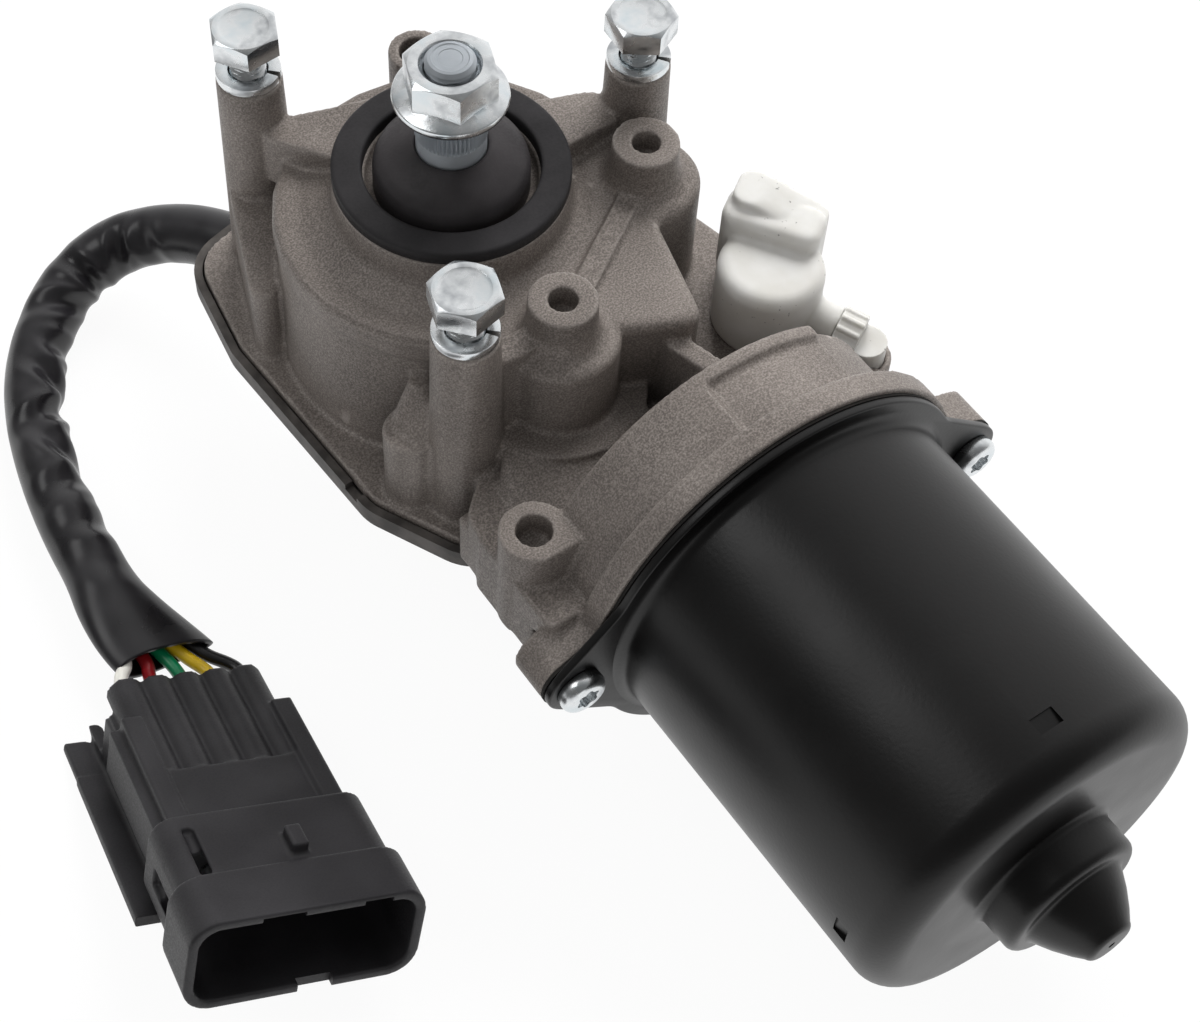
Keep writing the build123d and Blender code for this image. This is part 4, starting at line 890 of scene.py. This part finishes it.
def split_washer():
    """A rounded wire section spun nearly once round Z, its ends sprung a little apart."""
    place = (WASHER_MIDDLE * MM, 0, POST_TOP * MM + WASHER_HEIGHT / 2 * MM)
    bpy.ops.object.select_all(action="DESELECT")
    bpy.ops.mesh.primitive_plane_add(size=1, location=place, rotation=(math.radians(90), 0, 0))
    washer = bpy.context.object
    washer.scale = (WASHER_WIDTH * MM, WASHER_HEIGHT * MM, 1)
    bpy.ops.object.transform_apply(location=True, rotation=True, scale=True)
    open_mesh(washer)
    bpy.ops.mesh.bevel(offset=0.22 * MM, segments=2, affect="VERTICES")
    bpy.ops.mesh.spin(steps=72, angle=math.radians(348), center=(0, 0, 0), axis=(0, 0, 1))
    close_mesh()
    for vertex in washer.data.vertices:
        about = math.atan2(vertex.co.y, vertex.co.x) % (2 * math.pi)
        vertex.co.z += 0.1 * MM * (about / math.pi - 1) * 0.5 + 0.05 * MM
    washer.data.transform(Matrix.Rotation(math.radians(-55), 4, "Z"))
    smoothed(washer, 40)
    return washer


bolts, washers = [], []
for angle, turn in zip(post_angles, bolt_turns):
    x, y = POST_CIRCLE * math.cos(math.radians(angle)), POST_CIRCLE * math.sin(math.radians(angle))
    bolts.append(moved(bracket_bolt(turn), x, y))
    washers.append(moved(split_washer(), x, y))
finished(joined("bracket_bolts", *bolts), zinc, "motor_unit", "zinc_fastener", "mounting_bolts")
finished(joined("split_washers", *washers), zinc, "motor_unit", "zinc_fastener", "spring_washers")


# The motor's can: steel sheet deep-drawn in steps to a flange, a round wall and a nose for the
# bearing, then dipped in black paint. Four punch marks hold the magnets' clips inside. Its
# pieces are made about Z, by their distance along the motor's axis, and then laid on that axis.
MOTOR_AXIS = Matrix.Translation(at(14, 0, -34.7)) @ Matrix.Rotation(math.radians(90), 4, "X")


def paint_finish():
    black, grey = linear(13, 12, 12), linear(20, 19, 19)
    material, tree = new_finish("can_paint", black, 0.32, specular=0.38)
    wide = noise_at(tree, 45, 4)
    peel = noise_at(tree, 1500, 2)
    dust = noise_at(tree, 5200, 2)
    varied(tree, "Base Color", wide, [(0.4, black), (0.8, grey)])
    varied(tree, "Roughness", wide, greys((0.3, 0.30), (0.7, 0.40)))
    bumped(tree, peel, 0.00006, 0.3)
    bumped(tree, dust, 0.00001, 0.3)
    return material


def arc(centre_radius, centre_height, size, start, end, count=6):
    """Stations on a round corner, from one angle to another in degrees."""
    turns = [math.radians(start + (end - start) * index / count) for index in range(count + 1)]
    return [(centre_radius + size * math.cos(turn), centre_height + size * math.sin(turn)) for turn in turns]


# Stations run up the can's outside and back down its bore, by their distance along the axis.
can = turned("can_shell", [
    (28.75, 70.05), (32.9, 70.05), (32.9, 71.45), (32.0, 71.52), (31.4, 71.75), (30.9, 72.15), (30.63, 72.7),
    (30.55, 73.3), (30.55, 90.0), (30.55, 110.0), *arc(25.05, 127.5, 5.5, 0, 90, 10), (18.0, 133.0),
    *arc(12.9, 134.2, 1.2, 270, 180, 4), *arc(10.1, 138.4, 1.6, 0, 90, 5), *arc(9.2, 140.9, 0.9, 270, 190, 4),
    (7.0, 143.2), (5.4, 145.6), *arc(2.9, 146.6, 1.4, 20, 90, 5), (0.6, 148.0),
    (0.3, 139.5), (3.3, 139.4), (3.3, 139.0), (7.0, 139.0), (7.0, 131.2), (28.75, 131.2), (28.75, 70.0),
], segments=180)
PUNCH_RADIUS, PUNCH_STATION, PUNCH_LEAN = 30.9, 124.5, math.radians(-9)
PUNCH_SIZE = (1.9, 4.0, 2.6)
for turn in range(4):
    bpy.ops.object.select_all(action="DESELECT")
    bpy.ops.mesh.primitive_cube_add(size=1, location=(PUNCH_RADIUS * MM, 0, PUNCH_STATION * MM))
    punch = bpy.context.object
    punch.scale = [size * MM for size in PUNCH_SIZE]
    punch.rotation_euler = (0, PUNCH_LEAN, 0)
    bpy.ops.object.transform_apply(location=True, rotation=True, scale=True)
    punch.data.transform(Matrix.Rotation(math.radians(90 * turn), 4, "Z"))
    boolean(can, punch, "DIFFERENCE")
smoothed(can, 40)
EAR_REACH, EAR_RADIUS = 38.7, 5.4
FLANGE_RADIUS, EAR_ROOT = 34.3, 31.5
EDGE_POINTS = 720


def flange_reaches():
    """How far the flange's edge lies from the axis, for each point round it: a circle, and on X
    two screw ears whose sides run straight into a smaller circle. The corners are averaged."""
    lean = math.acos((EAR_ROOT - EAR_RADIUS) / EAR_REACH)
    ear_end = Vector((EAR_REACH + EAR_RADIUS * math.cos(lean), EAR_RADIUS * math.sin(lean)))
    reaches = []
    for index in range(EDGE_POINTS):
        turn = 2 * math.pi * index / EDGE_POINTS
        fold = math.atan2(abs(math.sin(turn)), abs(math.cos(turn)))
        off = EAR_REACH * math.sin(fold)
        reach = FLANGE_RADIUS
        if off < EAR_RADIUS:
            reach = max(reach, EAR_REACH * math.cos(fold) + math.sqrt(EAR_RADIUS**2 - off**2))
        if fold > math.atan2(ear_end.y, ear_end.x):
            side = EAR_ROOT / math.cos(lean - fold) if fold < lean else 0
            reach = max(min(reach, FLANGE_RADIUS), side)
        reaches.append(reach)
    for _ in range(3):
        ring = reaches[-3:] + reaches + reaches[:3]
        reaches = [sum(ring[index:index + 7]) / 7 for index in range(EDGE_POINTS)]
    return reaches


def eared_plate(name, foot, top):
    """A plate between two distances along the axis, with the flange's outline."""
    bpy.ops.object.select_all(action="DESELECT")
    bpy.ops.mesh.primitive_circle_add(
        vertices=EDGE_POINTS, radius=1, fill_type="NGON", location=(0, 0, foot * MM)
    )
    plate = bpy.context.object
    plate.name = name
    bpy.ops.object.transform_apply(location=True, rotation=True, scale=True)
    reaches = flange_reaches()
    for vertex in plate.data.vertices:
        turn = math.atan2(vertex.co.y, vertex.co.x)
        reach = reaches[round(turn / (2 * math.pi) * EDGE_POINTS) % EDGE_POINTS]
        vertex.co.x, vertex.co.y = reach * MM * math.cos(turn), reach * MM * math.sin(turn)
    open_mesh(plate)
    bpy.ops.mesh.extrude_region_move(TRANSFORM_OT_translate={"value": (0, 0, (top - foot) * MM)})
    close_mesh()
    return plate


plate = eared_plate("can_flange", 70.0, 71.5)
boolean(plate, turned("flange_hole", [(29.6, 69.0), (29.6, 73.0)], 96), "DIFFERENCE")
edge_softened(plate, 0.35 * MM, 50, 3)
can = joined("can_shell", can, plate)
can.data.transform(MOTOR_AXIS)
finished(can, paint_finish(), "motor_unit", "painted_can", "motor_can")
dress("can_gasket", paper)


# Two pan-head screws with a six-lobed recess hold the can and its gasket to the housing's ears,
# and four like them hold the cover. Thread-forming steel screws, zinc plated.
def screw_like(name, head_radius, head_height, radius, length, recess):
    """A screw whose head's underside lies at zero and whose head points up."""
    head = turned(name + "_head", [
        (head_radius - 0.15, 0.0), (head_radius, 0.25), (head_radius, head_height * 0.45),
        *arc(head_radius - head_height * 0.55, head_height * 0.45, head_height * 0.55, 15, 85, 5),
        (0.2, head_height),
    ], 48)
    lobes = turned(name + "_recess", [
        (0.2, head_height * 0.35), (recess, head_height * 0.45), (recess, head_height + 0.3),
    ], 48)
    for vertex in lobes.data.vertices:
        x, y, z = vertex.co
        wave = 1 + 0.14 * math.cos(6 * math.atan2(y, x))
        vertex.co.x, vertex.co.y = x * wave, y * wave
    boolean(head, lobes, "DIFFERENCE")
    edge_softened(head, 0.08 * MM, 40)
    thread = rows(radius, 0.6 - length, -0.2, 0.25)
    shank = turned(name + "_shank", [(radius - 0.7, -length), *thread, (radius * 0.9, 0.1)], 32)
    threaded(shank, -length, -0.3, 1.4, 0.45)
    smoothed(shank, 40)
    return joined(name, head, shank)


screws = []
for side in (-1, 1):
    screw = screw_like("can_screw", 3.9, 2.7, 2.33, 9.6, 1.75)
    screw.data.transform(Matrix.Rotation(math.radians(40 * side), 4, "Z"))
    screw.data.transform(MOTOR_AXIS @ Matrix.Translation((side * EAR_REACH * MM, 0, 71.52 * MM)))
    screws.append(screw)
finished(joined("can_fixing_screws", *screws), zinc, "motor_unit", "zinc_fastener", "can_screws")

GASKET, COVER_SHEET = 0.5, 1.4
screws = []
for x, y in ((-21.0, 31.8), (35.5, 0.0), (-24.2, -24.6), (41.4, -22.5)):
    screw = screw_like("cover_screw", 3.0, 1.6, 1.48, 8.2, 1.2)
    place = at(x, y, CASTING_FOOT - GASKET - COVER_SHEET)
    screw.data.transform(Matrix.Translation(place) @ Matrix.Rotation(math.pi, 4, "X"))
    screws.append(screw)
finished(joined("cover_fixing_screws", *screws), zinc, "motor_unit", "zinc_fastener", "cover_screws")


# The breather: a cap of natural white acetal over the vent in the housing's deck, moulded as two
# joined lumps with an outlet, and the ribbed knob of its plug, pushed into a cast ring.
def acetal_finish():
    white, cream = linear(194, 193, 190), linear(184, 182, 177)
    material, tree = new_finish("white_acetal", white, 0.42)
    sockets = tree.nodes[SHADER].inputs
    sockets["Subsurface Weight"].default_value = 0.25
    sockets["Subsurface Radius"].default_value = (0.002, 0.002, 0.0018)
    sockets["Subsurface Scale"].default_value = 1.0
    wide = noise_at(tree, 160, 3)
    mix = tree.nodes.new("ShaderNodeMix")
    mix.data_type = "RGBA"
    mix.blend_type = "MULTIPLY"
    mix.inputs["Factor"].default_value = 1.0
    tree.links.new(between(tree, wide, [(0.3, cream), (0.65, white)]), mix.inputs["A"])
    tree.links.new(between(tree, noise_at(tree, 950, 2), greys((0.25, 0.35), (0.29, 1))), mix.inputs["B"])
    tree.links.new(mix.outputs["Result"], sockets["Base Color"])
    bumped(tree, wide, 0.0003, 0.3)
    return material


acetal = acetal_finish()
cap = merged_copy("vent_cap", "breather_cap")
lump = hulled(
    "cap_lump", -25.0,
    (40.8, -23.9, 2.4, -9.4), (43.2, -22.3, 2.4, -9.4), (46.9, -32.8, 2.4, -12.6), (49.2, -31.2, 2.4, -12.6),
)
joined("breather_cap", cap, lump)
cast_over(cap, 0.32 * MM, 8)
finished(cap, acetal, "motor_unit", "white_plastic", "vent_cap")
knob = merged_copy("vent_plug", "breather_plug")
outlet_foot = at(38.3, -34.4, -22.0)
outlet_run = (at(47.0, -49.9, -24.4) - outlet_foot).normalized()
knob_place = Matrix.Translation(outlet_foot) @ outlet_run.to_track_quat("Z", "Y").to_matrix().to_4x4()
KNOB_RIBS, RIB_CIRCLE = 11, 3.35
knob_ribs = []
for step in range(KNOB_RIBS):
    rib = moved(turned("knob_rib", [(0.3, 12.7), (0.5, 12.8), (0.5, 16.5), (0.3, 16.7)], 12), RIB_CIRCLE, 0)
    rib.data.transform(knob_place @ Matrix.Rotation(2 * math.pi * step / KNOB_RIBS, 4, "Z"))
    knob_ribs.append(rib)
joined("breather_plug", knob, *knob_ribs)
cast_over(knob, 0.16 * MM, 2)
finished(knob, acetal, "motor_unit", "white_plastic", "vent_plug")


# The rubber grommet that carries the harness through the cover's wall: a collar outside the
# wall, then a ribbed neck that tapers to the sleeve it is pushed into.
GROMMET_REACH = 11.2
exit_heading = (sleeve_places[1] - sleeve_places[0]).normalized()
grommet = turned("harness_grommet_piece", [
    (3.0, -2.9), (4.1, -2.7), (4.15, 4.4), (4.6, 4.6), (4.68, 4.9), (4.68, 6.2), (4.5, 6.5), (4.2, 6.6),
    (4.2, 7.3), (4.5, 7.5), (4.45, 8.5), (4.1, 8.7), (4.1, 9.4), (4.35, 9.6), (4.3, 10.5), (4.05, 10.8),
    (3.9, 11.1), (2.6, 11.15),
], 64)
grommet.data.transform(
    Matrix.Translation(sleeve_places[0] - exit_heading * GROMMET_REACH * MM)
    @ exit_heading.to_track_quat("Z", "Y").to_matrix().to_4x4()
)
smoothed(grommet, 45)
finished(grommet, seal_rubber, "motor_unit", "black_rubber", "harness_grommet")


# The five-way plug: black glass-filled nylon, moulded in one piece with round wire entries,
# locking ribs, a stepped body, an open shroud and the rail it is clipped on by.
def nylon_finish():
    black, grey = linear(34, 33, 35), linear(46, 45, 47)
    material, tree = new_finish("plug_nylon", black, 0.5, specular=0.4)
    wide = noise_at(tree, 90, 3)
    grain = noise_at(tree, 3200, 2)
    varied(tree, "Base Color", wide, [(0.35, black), (0.75, grey)])
    varied(tree, "Roughness", grain, greys((0.3, 0.42), (0.7, 0.6)))
    bumped(tree, grain, 0.00003, 0.5)
    return material


def plug_bar(left, right, start, end, foot, top):
    """A bar between limits in the plug's own millimetres, for adding or for cutting."""
    bpy.ops.object.select_all(action="DESELECT")
    bpy.ops.mesh.primitive_cube_add(size=1)
    bar = bpy.context.object
    bar.scale = ((right - left) * MM, (end - start) * MM, (top - foot) * MM)
    bar.location = ((left + right) / 2 * MM, (start + end) / 2 * MM, (foot + top) / 2 * MM)
    bpy.ops.object.transform_apply(location=True, rotation=True, scale=True)
    return bar


plug = merged_copy("connector_housing", "five_way_plug")
plug.data.transform(plug_frame.inverted())
rail_start = plug_bar(12.2, 18.8, -1.5, 8.5, -11.9, -10.3)
rail_step = plug_bar(12.2, 14.2, -3.5, 4.5, -11.9, -8.8)
joined("five_way_plug", plug, rail_start, rail_step)
cast_over(plug, 0.33 * MM, 1)
# The rail's end is cut back, and the shroud's mouth has two notches above and one below.
for cut in (
    plug_bar(14.8, 20.5, 41.0, 51.0, -13.0, -9.4),
    plug_bar(1.0, 7.6, 58.8, 62.0, 3.5, 5.1),
    plug_bar(-12.4, -8.0, 58.8, 62.0, 3.5, 5.1),
    plug_bar(-5.0, 0.5, 59.6, 62.0, -11.5, -8.6),
):
    boolean(plug, cut, "DIFFERENCE")
plug.data.transform(plug_frame)
finished(plug, nylon_finish(), "motor_unit", "black_plastic", "connector_housing")


# What can't be seen from outside keeps the solids' own shapes and gets its own finish: acetal
# gears on steel pins, sintered bushes, stacked laminations, copper windings, ferrite magnets.
def moulded_finish(name, shade, roughness):
    material, tree = new_finish(name, shade, roughness)
    wide = noise_at(tree, 200, 3)
    shaded = tuple(part * 0.85 for part in shade)
    varied(tree, "Base Color", wide, [(0.3, shaded), (0.7, shade)])
    bumped(tree, noise_at(tree, 1800, 2), 0.00003, 0.4)
    return material


def stacked_finish(name, shade, roughness, metallic, scale):
    """Fine bands across the motor's axis, as sheets in a stack or turns of wire show."""
    material, tree = new_finish(name, shade, roughness, metallic)
    place = tree.nodes.new("ShaderNodeTexCoord")
    bands = tree.nodes.new("ShaderNodeTexWave")
    bands.bands_direction = "Y"
    bands.inputs["Scale"].default_value = scale
    bands.inputs["Distortion"].default_value = 1.5
    tree.links.new(place.outputs["Object"], bands.inputs["Vector"])
    dull = tuple(part * 0.6 for part in shade)
    varied(tree, "Base Color", bands.outputs["Fac"], [(0.2, dull), (0.7, shade)])
    bumped(tree, bands.outputs["Fac"], 0.00008, 0.6)
    return material


gear_acetal = moulded_finish("gear_acetal", linear(216, 210, 194), 0.4)
brass = steel_finish("stamped_brass", (0.56, 0.40, 0.16), 0.3, LEVEL)
bronze = moulded_finish("sintered_bronze", linear(138, 106, 60), 0.5)
ferrite = moulded_finish("ferrite", linear(44, 44, 47), 0.6)
inner_finishes = {
    ground_steel: (
        "armature_shaft", "gear_pins", "pin_circlips", "thrust_ball", "thrust_washer", "gear_retainer",
    ),
    gear_acetal: ("output_gear", "front_intermediate_gear", "rear_intermediate_gear"),
    brass: ("park_disc", "park_contacts", "commutator"),
    bronze: ("output_bushes", "worm_end_bush", "drive_end_bush", "nose_bush"),
    ferrite: ("field_magnets",),
    stacked_finish("laminations", linear(66, 64, 64), 0.45, 0.8, 500): ("armature_core",),
    stacked_finish("windings", linear(154, 74, 34), 0.35, 0.3, 320): ("armature_windings",),
    moulded_finish("carbon", linear(30, 30, 31), 0.7): ("brushes",),
    moulded_finish("phenolic", linear(62, 40, 26), 0.5): ("brush_plate",),
    steel_finish("spring_steel", (0.45, 0.45, 0.46), 0.35, LEVEL): ("brush_springs", "magnet_clips"),
    steel_finish("terminal_tin", (0.70, 0.71, 0.71), 0.3, LEVEL): ("connector_terminals",),
}
for finish, names in inner_finishes.items():
    for name in names:
        dress(name, finish)
